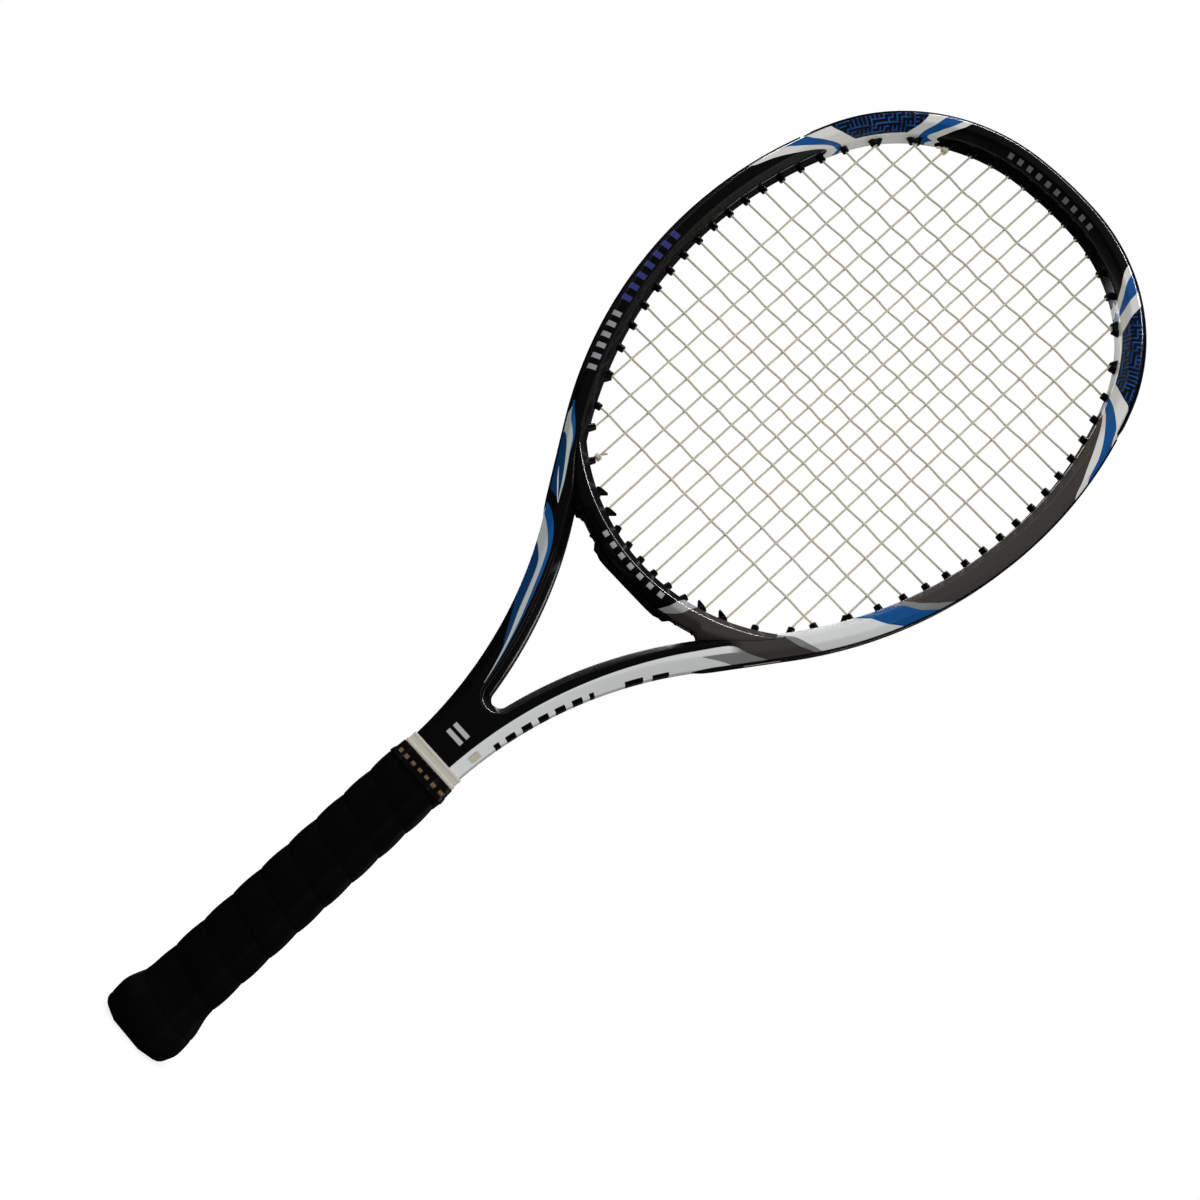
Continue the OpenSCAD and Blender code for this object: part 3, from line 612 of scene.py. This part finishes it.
frame_lacquer()
bridge_lacquer()
plain("grommet_nylon", linear(8, 8, 9), 0.33, grain=0.05)
plain("string", IVORY, 0.34, scale=40.0, coat=0.2)
plain("pallet_foam", linear(60, 60, 62), 0.8, grain=0.3)
plain("cap_nylon", linear(18, 18, 19), 0.45, grain=0.08)
plain("staple_steel", linear(190, 190, 194), 0.3, metallic=1.0)
plain("base_grip", linear(24, 24, 25), 0.7, grain=0.2)
tape_band()
grip_wrap()
plain("collar_rubber", linear(222, 218, 204), 0.62, grain=0.1)
plain("label_vinyl", linear(222, 216, 190), 0.4)


# ---------- frame


def section_corners(run):
    """Width of the tube's section, and its corners from the middle of the outer wall to the middle of the
    inner one: (inset, half height, across)."""
    blend = min(1.0, max(0.0, (run - SHAFT_FROM) / SHAFT_BLEND))
    w = HEAD_W + (SHAFT_W - HEAD_W) * blend
    slope = HEAD_SLOPE + (SHAFT_SLOPE - HEAD_SLOPE) * blend
    outer = hypot(slope, HALF_H - FLAT)
    inner = hypot(INNER_SLOPE, HALF_H - FLAT)
    crown = w - slope - INNER_SLOPE
    marks = np.cumsum([-2, FLAT, outer, crown, inner, FLAT])
    return w, [
        (0, 0, marks[0]), (0, FLAT, marks[1]), (slope, HALF_H, marks[2]),
        (w - INNER_SLOPE, HALF_H, marks[3]), (w, FLAT, marks[4]), (w, 0, marks[5]),
    ]


def inner_place(turn, back):
    """Radius from the shaft's centre, along a ray, of the point a distance back from the throat's edge.
    Rays that pass under the throat stop at the racket's middle plane."""
    ray = np.array([-cos(turn), sin(turn)])
    to = THROAT - SHAFT_C
    middle = SHAFT_C[0] / cos(turn)
    if turn >= asin(to[1] / np.linalg.norm(to)):
        return min(middle, SHAFT_R + SHAFT_W - back)
    along = to @ ray
    off = to @ to - along ** 2
    reach = (THROAT_R + back) ** 2
    return min(middle, along - sqrt(reach - off)) if off < reach else middle


def section_ring(run):
    """Points and across marks of the section at a run, right half."""
    w, corners = section_corners(run)
    wall, n = wall_at(run)
    points, marks = [], []
    for inset, y, mark in rounded(corners, EDGE_REACH):
        place = wall - inset * n
        # On the neck the inner part follows the throat's edge, and then the racket's middle plane
        if RUN_STRAIGHT + 60 < run <= RUN_NECK:
            turn = asin(-n[1])
            back = w - inset
            if back < w / 2:
                radius = inner_place(turn, back)
                middle = radius >= SHAFT_C[0] / cos(turn) - 1e-6
                place = SHAFT_C + radius * np.array([-cos(turn), sin(turn)])
                if middle:
                    edge = np.linalg.norm(place - THROAT) - THROAT_R
                    y = min(HALF_H, FLAT + (HALF_H - FLAT) * max(0, edge) / INNER_SLOPE) if y > 0 else 0
        elif run > RUN_NECK and inset > w / 2:
            place = np.array([max(0.0, min(place[0], w - inset + 0.2)), place[1]])
            if w - inset < 6:
                place[0], y = 0.0, (HALF_H if y > 0 else 0)
        points.append(lift(place, y))
        marks.append(mark)
    lower = [p * [1, -1, 1] for p in points[-2:0:-1]]
    return points + lower, marks + marks[-2:0:-1]


def frame_shell():
    """Tube swept along the outline, with rings closer together where the neck joins the two halves."""
    runs = np.concatenate([
        np.linspace(0, RUN_SHOULDER, 90, endpoint=False),
        np.linspace(RUN_SHOULDER, RUN_SIDE, 120, endpoint=False),
        np.linspace(RUN_SIDE, RUN_STRAIGHT + 60, 56, endpoint=False),
        np.linspace(RUN_STRAIGHT + 60, RUN_NECK, 130, endpoint=False),
        [RUN_NECK, RUN_END],
    ])
    rings, marks = zip(*(section_ring(run) for run in runs))
    rings, marks = np.array(rings), np.array(marks)
    shape = Shape()
    rows = np.maximum(runs, 0.01)[:, None]
    shape.grid(rings, run=rows, across=marks)
    shape.grid(mirrored(rings), run=-rows, across=marks)
    return shape.build("frame_shell", "frame_lacquer", "hairpin_frame", drop_middle=True)


def bridge_low(angle):
    """Depth of the bridge's lower face below its upper face; a fillet eases it into each shaft."""
    out = heading(-LEAN)
    base = SIDE_END - (SHAFT_W + FILLET) * out - BRIDGE_C
    low_r = BRIDGE_R + BRIDGE_W
    along = base @ -DOWN
    centre = base - (along + sqrt(along ** 2 - base @ base + (low_r + FILLET) ** 2)) * -DOWN
    start = degrees(atan2(centre[0], -centre[1]))
    turn = radians(abs(angle) - start)
    if turn <= 0:
        return BRIDGE_W
    far = np.linalg.norm(centre)
    off = min(FILLET, far * sin(turn))
    depth = far * cos(turn) - sqrt(FILLET ** 2 - off ** 2) - BRIDGE_R
    buried = ((SIDE_END - BRIDGE_C) @ out - 5) / (heading(abs(angle) - 90) @ out) - BRIDGE_R
    return min(depth, buried)


def bridge_shell():
    """Bevelled bar under the strings, whose ends are buried in the shafts."""
    top = HALF_H - 0.08
    side = hypot(BRIDGE_SLOPE, HALF_H - FLAT)
    rings, marks = [], []
    end = np.linspace(22, 41, 76)
    angles = np.concatenate([-end[::-1], np.linspace(-21.5, 21.5, 64), end])
    for angle in angles:
        depth = bridge_low(angle)
        corners = [
            (0, 0, 6), (0, FLAT, 11.5),
            (BRIDGE_SLOPE, top, 11.5 + side), (depth - BRIDGE_SLOPE, top, 15.5 + side),
            (depth, FLAT, 15.5 + 2 * side), (depth, 0, 21 + 2 * side),
        ]
        half = rounded(corners, EDGE_REACH)
        n = heading(angle - 90)
        points = [lift(BRIDGE_C + (BRIDGE_R + d) * n, y) for d, y, _ in half]
        rings.append(points + [p * [1, -1, 1] for p in points[-2:0:-1]])
        row = [m for _, _, m in half]
        marks.append(row + row[-2:0:-1])
    shape = Shape()
    shape.grid(rings, caps=True, run=angles[:, None], across=marks)
    return shape.build("bridge_shell", "bridge_lacquer", "throat_bridge")


# ---------- places of the strings

# How far a grommet barrel stands out of its wall, and the mains in each half and the crosses
REACH = 3.6
MAINS, CROSSES = 8, 19


def main_x(j):
    """Distance of main string j from the middle, 1 to 8; the gaps widen outwards."""
    return 10.5 * (j - 0.5) + 0.0326 * (j - 0.5) ** 3


def column_x(n):
    """Place of main string n, 0 to 15 from the left."""
    return -main_x(MAINS - n) if n < MAINS else main_x(n - MAINS + 1)


def cross_z(i):
    """Height of cross string i, 1 to 19 from the bottom; the gaps widen away from the middle."""
    return 518.4 + 12.3 * (i - 10) + 0.00019 * (i - 10) ** 5


def rim(deg, out):
    """Point outside the hoop's outer wall by out, where the wall faces the heading."""
    arcs = ((TIP_A, TIP_C, TIP_R), (SHOULDER_A, SHOULDER_C, SHOULDER_R), (-180, SIDE_C, SIDE_R))
    centre, r = next((centre, r) for low, centre, r in arcs if deg >= low)
    return centre + (r + out) * heading(deg)


def tip_angle(x):
    """Heading of the hoop's inner wall above a main string."""
    deg = degrees(acos(x / (TIP_R - HEAD_W)))
    return deg if deg >= TIP_A else degrees(acos((x - SHOULDER_C[0]) / (SHOULDER_R - HEAD_W)))


def side_angle(z):
    """Heading of the hoop's inner wall beside a cross string."""
    t = min(1.0, max(-1.0, (z - SHOULDER_C[1]) / (SHOULDER_R - HEAD_W)))
    deg = degrees(asin(t))
    return deg if deg >= SHOULDER_A else degrees(asin((z - SIDE_C[1]) / (SIDE_R - HEAD_W)))


class Port:
    """Hole through a wall: its mouth inside the head, its axis outwards and its length."""

    def __init__(self, mouth, normal, depth, out):
        self.mouth = mouth
        self.axis = unit(normal + np.array(out, float))
        self.length = depth / (self.axis @ normal)

    @property
    def nose(self):
        return self.mouth - REACH * self.axis

    def beyond(self, out):
        return self.mouth + (self.length + out) * self.axis


def hoop_port(deg, out):
    return Port(rim(deg, -HEAD_W), heading(deg), HEAD_W, out)


def settled(make, axis, value):
    """Port shifted along its wall until the tip of its barrel lies on the string."""
    shift = 0.0
    for _ in range(4):
        port = make(value + shift)
        shift = REACH * port.axis[axis]
    return port


def bridge_top(x):
    return BRIDGE_C[1] - sqrt(BRIDGE_R ** 2 - x ** 2)


def low_end(x):
    """Port of an outer main, which leaves through the side of the head or the straight below it."""
    deg = -degrees(acos((x - SIDE_C[0]) / (SIDE_R - HEAD_W)))
    if deg > -LEAN:
        return hoop_port(deg, (0, -1))
    down = (SIDE_END[0] - HEAD_W * cos(radians(LEAN)) - x) / -DOWN[0]
    inner = SIDE_END + down * DOWN - HEAD_W * heading(-LEAN)
    mouth = np.array([x, max(bridge_top(x), inner[1])])
    return Port(mouth, heading(-LEAN), (SIDE_END - mouth) @ heading(-LEAN), (0, -1))


def bridge_port(x):
    """Port through the bridge, whose foot leans further towards the middle the further out it is."""
    m = -0.13 * x / BRIDGE_W
    mouth = np.array([x + m * REACH, bridge_top(x + m * REACH)])
    foot_x = mouth[0] + m * BRIDGE_W
    foot = np.array([foot_x, BRIDGE_C[1] - sqrt((BRIDGE_R + BRIDGE_W) ** 2 - foot_x ** 2)])
    port = Port(mouth, unit(foot - mouth), 1.0, (0, 0))
    port.length = float(np.linalg.norm(foot - mouth))
    return port


COLUMNS = [main_x(j) for j in range(1, MAINS + 1)]
ROWS = [cross_z(i) for i in range(1, CROSSES + 1)]
UPPER = [settled(lambda x: hoop_port(tip_angle(x), (0, 1)), 0, x) for x in COLUMNS]
LOWER = [bridge_port(x) for x in COLUMNS[:5]] + [settled(low_end, 0, x) for x in COLUMNS[5:]]
CROSS = [settled(lambda z: hoop_port(side_angle(z), (1, 0)), 1, z) for z in ROWS]


# ---------- bumper, strips and grommets

# Runs where the bumper ends and where each side strip starts and ends
BUMPER_END, STRIP_START, STRIP_END = 166.8, 168.6, 449.5
BARREL_R = 2.2
AHEAD = np.array([0.0, 1.0, 0.0])


def barrel(shape, port, mirror=False):
    """Moulded barrel with a rounded lip and a bore, from inside the wall to its nose."""
    outside = [(1.0, BARREL_R + 0.1), (-REACH, BARREL_R - 0.2)]
    bore = [(-REACH, 0.85), (-1.0, 0.75)]
    turned(shape, port, rounded(outside + bore, 0.8), mirror)


def turned(shape, port, profile, mirror):
    """Surface turned about a port's axis from (distance along from the mouth, radius) points."""
    axis = lift(port.axis, 0)
    side = np.cross(axis, AHEAD)
    rings = [circle(lift(port.mouth, 0) + along * axis, side, AHEAD, radius, 20) for along, radius in profile]
    shape.grid(mirrored(rings) if mirror else rings)


def both_sides(upper):
    """Closed section from its points with y from 0 up and back to 0."""
    return upper + [(a, -b) for a, b in upper[-2:0:-1]]


def along_wall(shape, runs, section):
    """Sweeps a closed section of (out, y) points along the outer wall; section gives it for each run."""
    rings = []
    for run in runs:
        wall, n = wall_at(abs(run))
        ring = [lift(wall + out * n, y) for out, y in section(run)]
        rings.append(mirrored(ring) if run < 0 else ring)
    shape.grid(rings, caps=True)


def bumper_profile(run):
    """Two lips beside a groove for the strings, with skirts that lap over the frame's bevels."""
    t = BUMPER_T * (1 - 0.5 * smooth(abs(run), 160, BUMPER_END))
    skirt = 8.6
    lap = HEAD_SLOPE * (skirt - FLAT) / (HALF_H - FLAT)
    return both_sides(rounded([
        (-0.5, 0.0), (-0.5, 1.5), (t, 1.5), (t, 4.9),
        (t - lap, skirt), (-lap - 0.3, skirt - 0.1), (-0.3, 4.6), (-0.9, 0.0),
    ], [0, 0.2, 0.5, 1.4, 0.45, 0.2, 0.4, 0], steps=3))


def bumper():
    shape = Shape()
    runs = np.linspace(-BUMPER_END, BUMPER_END, 260)
    along_wall(shape, runs, bumper_profile)
    for port in UPPER + CROSS[15:]:
        barrel(shape, port)
        barrel(shape, port, mirror=True)
    return shape.build("bumper_shell", "grommet_nylon", "bumper_guard")


def strip_profile(run):
    """Flat strip with a groove for the strings, narrower and thinner towards its rounded end."""
    tail = sqrt(max(0.02, 1 - smooth(abs(run), 436, STRIP_END) ** 2))
    half, t = 1.6 + 3.9 * tail, 0.85 * (0.3 + 0.7 * tail)
    return both_sides(rounded([(-0.4, 0.0), (-0.4, 1.3), (t, 1.3), (t, half), (-0.2, half), (-0.8, 0.0)],
                              [0, 0.2, 0.4, 0.6, 0.1, 0], steps=3))


def side_strip(name, node, sign):
    """Grommet strip down one side of the head; sign is 1 on the right."""
    shape = Shape()
    runs = sign * np.concatenate([np.linspace(STRIP_START, 430, 150), np.linspace(431, STRIP_END, 26)])
    along_wall(shape, runs, strip_profile)
    for port in CROSS[:15] + LOWER[5:]:
        barrel(shape, port, mirror=sign < 0)
    return shape.build(name, "grommet_nylon", node)


def throat_strip():
    """Bar under the bridge whose lower face runs flatter than the bridge."""
    low_r = BRIDGE_R + BRIDGE_W
    lowest = BRIDGE_C[1] - low_r - 1.6
    rings = []
    for angle in np.linspace(-13.3, 13.3, 60):
        x, top = BRIDGE_C + (low_r - 0.3) * heading(angle - 90)
        low = lowest + 0.3 * smooth(abs(x), 15, 21) + 1.3 * smooth(abs(x), 20.5, 25)
        low += (top - 0.3 - low) * smooth(abs(x), 26.5, 29.8)
        groove = low + 0.9
        section = both_sides([
            (top, 0.0), (top, 4.9), (low + 0.5, 5.0), (low, 4.5), (low, 1.5), (groove, 1.4), (groove, 0.0),
        ])
        rings.append([lift((x, z), y) for z, y in section])
    shape = Shape()
    shape.grid(rings, caps=True)
    for port in LOWER[:3]:
        barrel(shape, port)
        barrel(shape, port, mirror=True)
    return shape.build("throat_strip", "grommet_nylon", "throat_grommet_strip")


def wings():
    """Single grommets near the bridge's ends, each with a small wing beside the string."""
    shape = Shape()
    outline = rounded([(0, 0.6), (-2.1, 0.7), (-4.6, 3.4), (-4.2, 4.2), (0, 3.9)], 0.5, steps=3, closed=True)
    middle = np.mean(outline, axis=0)
    for port in LOWER[3:5]:
        wing = [
            [lift(port.mouth + middle + (p - middle) * share, y) for p in outline]
            for y, share in ((-1.0, 0.9), (-0.8, 1.0), (0.8, 1.0), (1.0, 0.9))
        ]
        flange = [(port.length + out, r) for out, r in ((-0.6, 2.3), (0.1, 2.3), (0.2, 2.1), (0.2, 0.8))]
        for mirror in (False, True):
            barrel(shape, port, mirror)
            shape.grid(mirrored(wing) if mirror else wing, caps=True)
            turned(shape, port, flange, mirror)
    return shape.build("wing_grommets", "grommet_nylon", "winged_grommets")


# ---------- strings

# Radius of the strings, how far mains and crosses swing out of the bed's plane to pass each other, and
# how far the loops outside the frame lie from that plane
STRING_R = 0.65
MAIN_SWING, CROSS_SWING = 0.42, 0.8
LOOP_Y = 0.72


def over(n, i):
    """1 where main n passes behind cross i, and -1 where it passes in front."""
    return 1 if (n + i) % 2 == 0 else -1


def eased(path):
    """Dense path: a weave eases from side to side, and the corners outside the frame are rounded."""
    points = [np.array(p, float) for p, _ in path]
    kinds = [k for _, k in path]
    out = []
    for k, p in enumerate(points):
        if kinds[k] == "corner" and 0 < k < len(points) - 1:
            a, b = (p + (q - p) * min(0.45, 1.3 / max(1e-6, np.linalg.norm(q - p)))
                    for q in (points[k - 1], points[k + 1]))
            out += bend(a, p, b, (0, 0.33, 0.67, 1))
        else:
            out.append(p)
        if k + 1 < len(points) and "weave" in (kinds[k], kinds[k + 1]):
            q = points[k + 1]
            for t in np.linspace(0, 1, 7)[1:-1]:
                if kinds[k] != "weave" and t < 0.3 or kinds[k + 1] != "weave" and t > 0.7:
                    continue
                mid = p + (q - p) * t
                mid[1] = p[1] + (q[1] - p[1]) * (1 - cos(pi * t)) / 2
                out.append(mid)
    return out


def side_of(points, left):
    """Points of the right side, mirrored for the left."""
    return [(np.array([-p[0], p[1], p[2]]), k) for p, k in points] if left else points


def main_column(n):
    """Main string n, 0 to 15 from the left, from its lower exit to its upper one or back. It ends outside
    the wall at the strips and inside it elsewhere."""
    left = n < MAINS
    j = MAINS - n if left else n - MAINS + 1
    low, top, x = LOWER[j - 1], UPPER[j - 1], main_x(j)
    out = (0.2, 0.2, 0.2, -0.6, -0.6, 0.15, 0.15, -4)[j - 1]
    path = [(lift(low.beyond(out), 0 if j == MAINS else LOOP_Y), "corner"), (lift(low.nose, 0), "corner")]
    for i in range(1, CROSSES + 1):
        if low.nose[1] + 2 < cross_z(i) < top.nose[1] - 2:
            path.append((np.array([x, MAIN_SWING * over(n, i), cross_z(i)]), "weave"))
    path += [(lift(top.nose, 0), "corner"), (lift(top.beyond(0.15), LOOP_Y), "corner")]
    if n % 2 == 1:
        return side_of(path, left)[::-1]
    beside = max(1, j - 1) if left else j + 1
    deg = (tip_angle(x) + tip_angle(main_x(beside))) / 2
    path.append((lift(rim(deg, 0.15), LOOP_Y), "corner"))
    return side_of(path, left)


def mains():
    shape = Shape()
    path = [p for n in range(2 * MAINS) for p in main_column(n)]
    tube(shape, eased(path), STRING_R)
    return shape.build("main_string_bed", "string", "main_strings")


def cross_pass(i):
    """Cross string i, woven through the mains; odd ones run from left to right and even ones back."""
    port, z = CROSS[i - 1], cross_z(i)
    end = [(lift(port.nose, 0), "corner"), (lift(port.beyond(0.15), -LOOP_Y), "corner")]
    path = side_of(end[::-1], True)
    for n in range(2 * MAINS):
        x = column_x(n)
        if abs(x) < port.nose[0] - 2:
            crossed = n if i % 2 == 1 else 2 * MAINS - 1 - n
            path.append((np.array([x, -CROSS_SWING * over(crossed, i), z]), "weave"))
    path += end
    if i < CROSSES:
        deg = (side_angle(z) + side_angle(cross_z(i + 1))) / 2
        path.append((lift(rim(deg, 0.15), -LOOP_Y), "corner"))
    return side_of(path, i % 2 == 0)


def crosses():
    shape = Shape()
    path = [p for i in range(1, CROSSES + 1) for p in cross_pass(i)]
    tube(shape, eased(path), STRING_R)
    return shape.build("cross_string_bed", "string", "cross_strings")


def knots():
    """Two tie-offs on the sixth main string from the middle: coils round the string and a cut tail."""
    shape = Shape()
    x = -main_x(6)
    for z, tail in (
        (UPPER[5].nose[1] - 1.9, (-3.2, -3.6, -4.2)),
        (LOWER[5].nose[1] + 1.9, (3.4, -3.2, 3.6)),
    ):
        coil = [
            [x + 1.42 * cos(2 * pi * t), 1.42 * sin(2 * pi * t), z - 1.0 + 0.95 * t]
            for t in np.linspace(0, 2.35, 60)
        ]
        last, aim, bow = np.array(coil[-1]), np.array(tail), np.array([0, -0.8, 0])
        coil += [last + aim * t + bow * sin(pi * t) for t in np.linspace(0.15, 1, 8)]
        tube(shape, coil, STRING_R, sides=10)
        strap = [
            [x + 1.3 * cos(a) - 0.2, -1.3 - 0.5 * sin(a), z + 0.96 * sin(a * 2) + 0.4]
            for a in np.linspace(-0.4, pi + 0.4, 14)
        ]
        tube(shape, strap, STRING_R, sides=10)
    return shape.build("string_tie_offs", "string", "string_knots")


# ---------- handle

# Width, thickness and bevel of the overgrip's core, height of its top, and rise of one turn of the wrap
GRIP_W, GRIP_T, GRIP_BEVEL, GRIP_TOP = 35.9, 31.2, 8.4, 190.0
PITCH = 18.4
# Radius of the dome at the butt
DOME_R = 5.2


def octagon_ring(w, t, bevel, z, reach=2.2, grow=None):
    """Rounded octagon as a ring of evenly spaced points; grow(share) pushes each point outwards."""
    a, b, c = w / 2, t / 2, bevel
    half = [(a, c - b), (a, b - c), (a - c, b), (c - a, b)]
    corners = half + [(-x, -y) for x, y in half]
    line = np.array(rounded(corners, reach, steps=6, closed=True))
    line = np.vstack([line, line[:1]])
    lengths = np.concatenate([[0], np.cumsum(np.linalg.norm(np.diff(line, axis=0), axis=1))])
    share = np.linspace(0, 1, 121)[:-1]
    ring = np.stack([np.interp(share * lengths[-1], lengths, line[:, k]) for k in (0, 1)], axis=1)
    if grow is not None:
        tangent = np.roll(ring, -1, axis=0) - np.roll(ring, 1, axis=0)
        normal = np.stack([tangent[:, 1], -tangent[:, 0]], axis=1)
        normal /= np.linalg.norm(normal, axis=1)[:, None]
        ring = ring + normal * np.array([grow(s) for s in share])[:, None]
    return np.column_stack([ring[:, 0], ring[:, 1], np.full(len(ring), z)])


def wrap_height(z, share):
    """Height of the helical wrap: a padded turn with a raised edge beside the groove between turns."""
    phase = (z / PITCH + share) % 1.0
    body = 0.8 * sin(pi * phase ** 0.8) ** 0.75
    edge = exp(-((phase * PITCH - 0.9) / 0.5) ** 2) * 0.14
    return body + edge - 0.1


def grip_size(z):
    """Extra half width of the grip over its straight part at a height: flared and domed at the butt."""
    flare = 3.65 * (1 - smooth(z, 13, 31))
    dome = DOME_R - sqrt(max(0.0, DOME_R ** 2 - max(0.0, DOME_R - z) ** 2))
    return flare - dome


def overgrip():
    """Padded helical wrap over the octagonal handle, turned in at both ends."""
    shape = Shape()
    heights = np.concatenate([
        np.linspace(0.25, 6, 16, endpoint=False), np.arange(6, GRIP_TOP, 0.55), [GRIP_TOP],
    ])
    rings = [octagon_ring(26.0, 21.5, 6.0, 0.2)]
    for z in heights:
        extra = grip_size(z)
        rings.append(octagon_ring(
            GRIP_W + 2 * extra, GRIP_T + 2 * extra, GRIP_BEVEL + 0.4 * extra, z, 3.0,
            grow=lambda share: smooth(z, 2, 8) * wrap_height(z, share),
        ))
    rings.append(octagon_ring(31.4, 26.8, 7.0, GRIP_TOP + 0.2))
    shape.grid(rings)
    return shape.build("overgrip_wrap", "overgrip", "overgrip")


def finishing_tape():
    """Tape round the end of the wrap, drawn in over its top: rings of (height, width, thickness, bevel)."""
    shape = Shape()
    shape.grid([
        octagon_ring(w, t, c, z, 2.6)
        for z, w, t, c in (
            (186.3, 36.4, 31.7, 8.4), (186.35, 37.6, 32.9, 8.6), (187.2, 37.7, 33.0, 8.6),
            (188.6, 37.4, 32.7, 8.5), (190.4, 36.2, 31.6, 8.1), (192.5, 35.8, 31.2, 7.9),
            (195.3, 35.6, 31.0, 7.9), (195.75, 35.0, 30.4, 7.8), (195.8, 33.0, 27.0, 7.2),
        )
    ])
    return shape.build("tape_band", "tape", "finishing_tape")


def collar():
    """Light rubber ring: a thicker lower lip, a shallow trough and a thin upper lip."""
    shape = Shape()
    profile = rounded([
        (195.85, -1.2), (195.85, 0.45), (197.4, 0.45), (198.0, 0.0),
        (200.6, -0.1), (201.1, 0.12), (COLLAR_TOP, 0.0), (COLLAR_TOP, -1.0),
    ], [0, 0.4, 0.3, 0.4, 0.4, 0.3, 0.5, 0], steps=4)
    shape.grid([octagon_ring(34.0 + 2 * g, 26.0 + 2 * g, 6.3 + 0.4 * g, z, 1.6) for z, g in profile])
    return shape.build("collar_ring", "collar_rubber", "grip_collar")


# ---------- object

lacquered = [frame_shell(), bridge_shell()]
bumper()
side_strip("side_strip_left", "grommet_strip_left", -1)
side_strip("side_strip_right", "grommet_strip_right", 1)
throat_strip()
wings()
mains()
crosses()
knots()
overgrip()
finishing_tape()
collar()

# CAD nodes shown as they are: the hidden core of the handle and the label
for node, slot in (
    ("handle_pallet", "pallet_foam"),
    ("butt_cap", "cap_nylon"),
    ("butt_staples", "staple_steel"),
    ("base_grip", "base_grip"),
    ("base_grip_tape", "tape"),
    ("shaft_label", "label_vinyl"),
):
    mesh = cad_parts[node].data
    mesh.materials.clear()
    mesh.materials.append(FINISH[slot])


# ---------- studio


def floor():
    """Pale floor, white to the camera and dark in reflections."""
    mesh = bpy.data.meshes.new("studio_floor")
    mesh.from_pydata([(-8, -8, 0), (8, -8, 0), (8, 8, 0), (-8, 8, 0)], [], [(0, 1, 2, 3)])
    paint = Paint("studio_floor", 0.9, specular=0.1)
    path = paint.node("LightPath")
    paint.put("Base Color", paint.mix(path.outputs["Is Glossy Ray"], (0.3, 0.3, 0.3, 1), (0.0, 0.0, 0.0, 1)))
    paint.put("Emission Color", (1, 1, 1, 1))
    paint.put("Emission Strength", paint.math("MULTIPLY", path.outputs["Is Camera Ray"], 0.8))
    mesh.materials.append(FINISH["studio_floor"])
    add("studio_floor", mesh)


def softbox(name, place, aim, width, height, power, glints_on=()):
    """Panel of light. One with glints_on is seen only in the sheen of those pieces."""
    data = bpy.data.lights.new(name, "AREA")
    data.shape, data.size, data.size_y, data.energy = "RECTANGLE", width, height, power
    obj = add(name, data)
    obj.location = place
    obj.rotation_euler = (Vector(aim) - Vector(place)).to_track_quat("-Z", "Y").to_euler()
    if glints_on:
        group = bpy.data.collections.new(name)
        for piece in glints_on:
            group.objects.link(piece)
        obj.light_linking.receiver_collection = group
        obj.visible_diffuse = False


def sky():
    """White to the camera, dim in reflections, and soft grey for everything else."""
    world = bpy.data.worlds.new("studio")
    bpy.context.scene.world = world
    world.use_nodes = True
    graph = Graph(world.node_tree)
    back = world.node_tree.nodes["Background"].inputs
    path = graph.node("LightPath").outputs
    dim = graph.math("MULTIPLY_ADD", path["Is Glossy Ray"], -0.9, 0.92)
    graph.wire(back["Color"], (1, 1, 1, 1))
    graph.wire(back["Strength"], graph.math("MAXIMUM", path["Is Camera Ray"], dim))


def camera():
    """Camera in front of the racket, rolled so that the racket lies along the picture's diagonal."""
    data = bpy.data.cameras.new("camera")
    data.lens, data.sensor_width, data.clip_start = 42, 36, 0.02
    obj = add("camera", data)
    ahead = Vector((-0.1423, 0.977, 0.159)).normalized()
    right = Vector((0.6818, -0.0197, 0.7313)).normalized()
    up = right.cross(ahead)
    pose = Matrix((right, up, -ahead)).transposed().to_4x4()
    pose.translation = Vector((0.1033, -0.7351, 0.2021))
    obj.matrix_world = pose
    bpy.context.scene.camera = obj


floor()
sky()
softbox("key_left", (-1.5, -0.5, 0.9), (0, 0, 0.5), 0.2, 0.8, 1.0)
softbox("fill_right", (1.3, -0.9, 0.2), (0, 0, 0.3), 0.2, 0.5, 1.0)
softbox("top", (-0.1, -0.4, 2.0), (0, 0, 0.5), 0.5, 0.15, 2)
softbox("glints", (-0.1, -0.4, 2.0), (0, 0, 0.5), 1.6, 0.08, 60.0, lacquered)
softbox("rim_left", (-0.8, 1.2, 0.75), (0, 0, 0.5), 0.22, 1.2, 4.0)
softbox("rim_right", (1.0, 1.1, 0.7), (0, 0, 0.5), 0.15, 0.9, 1.6)
camera()
bpy.context.scene.view_settings.view_transform = "Standard"
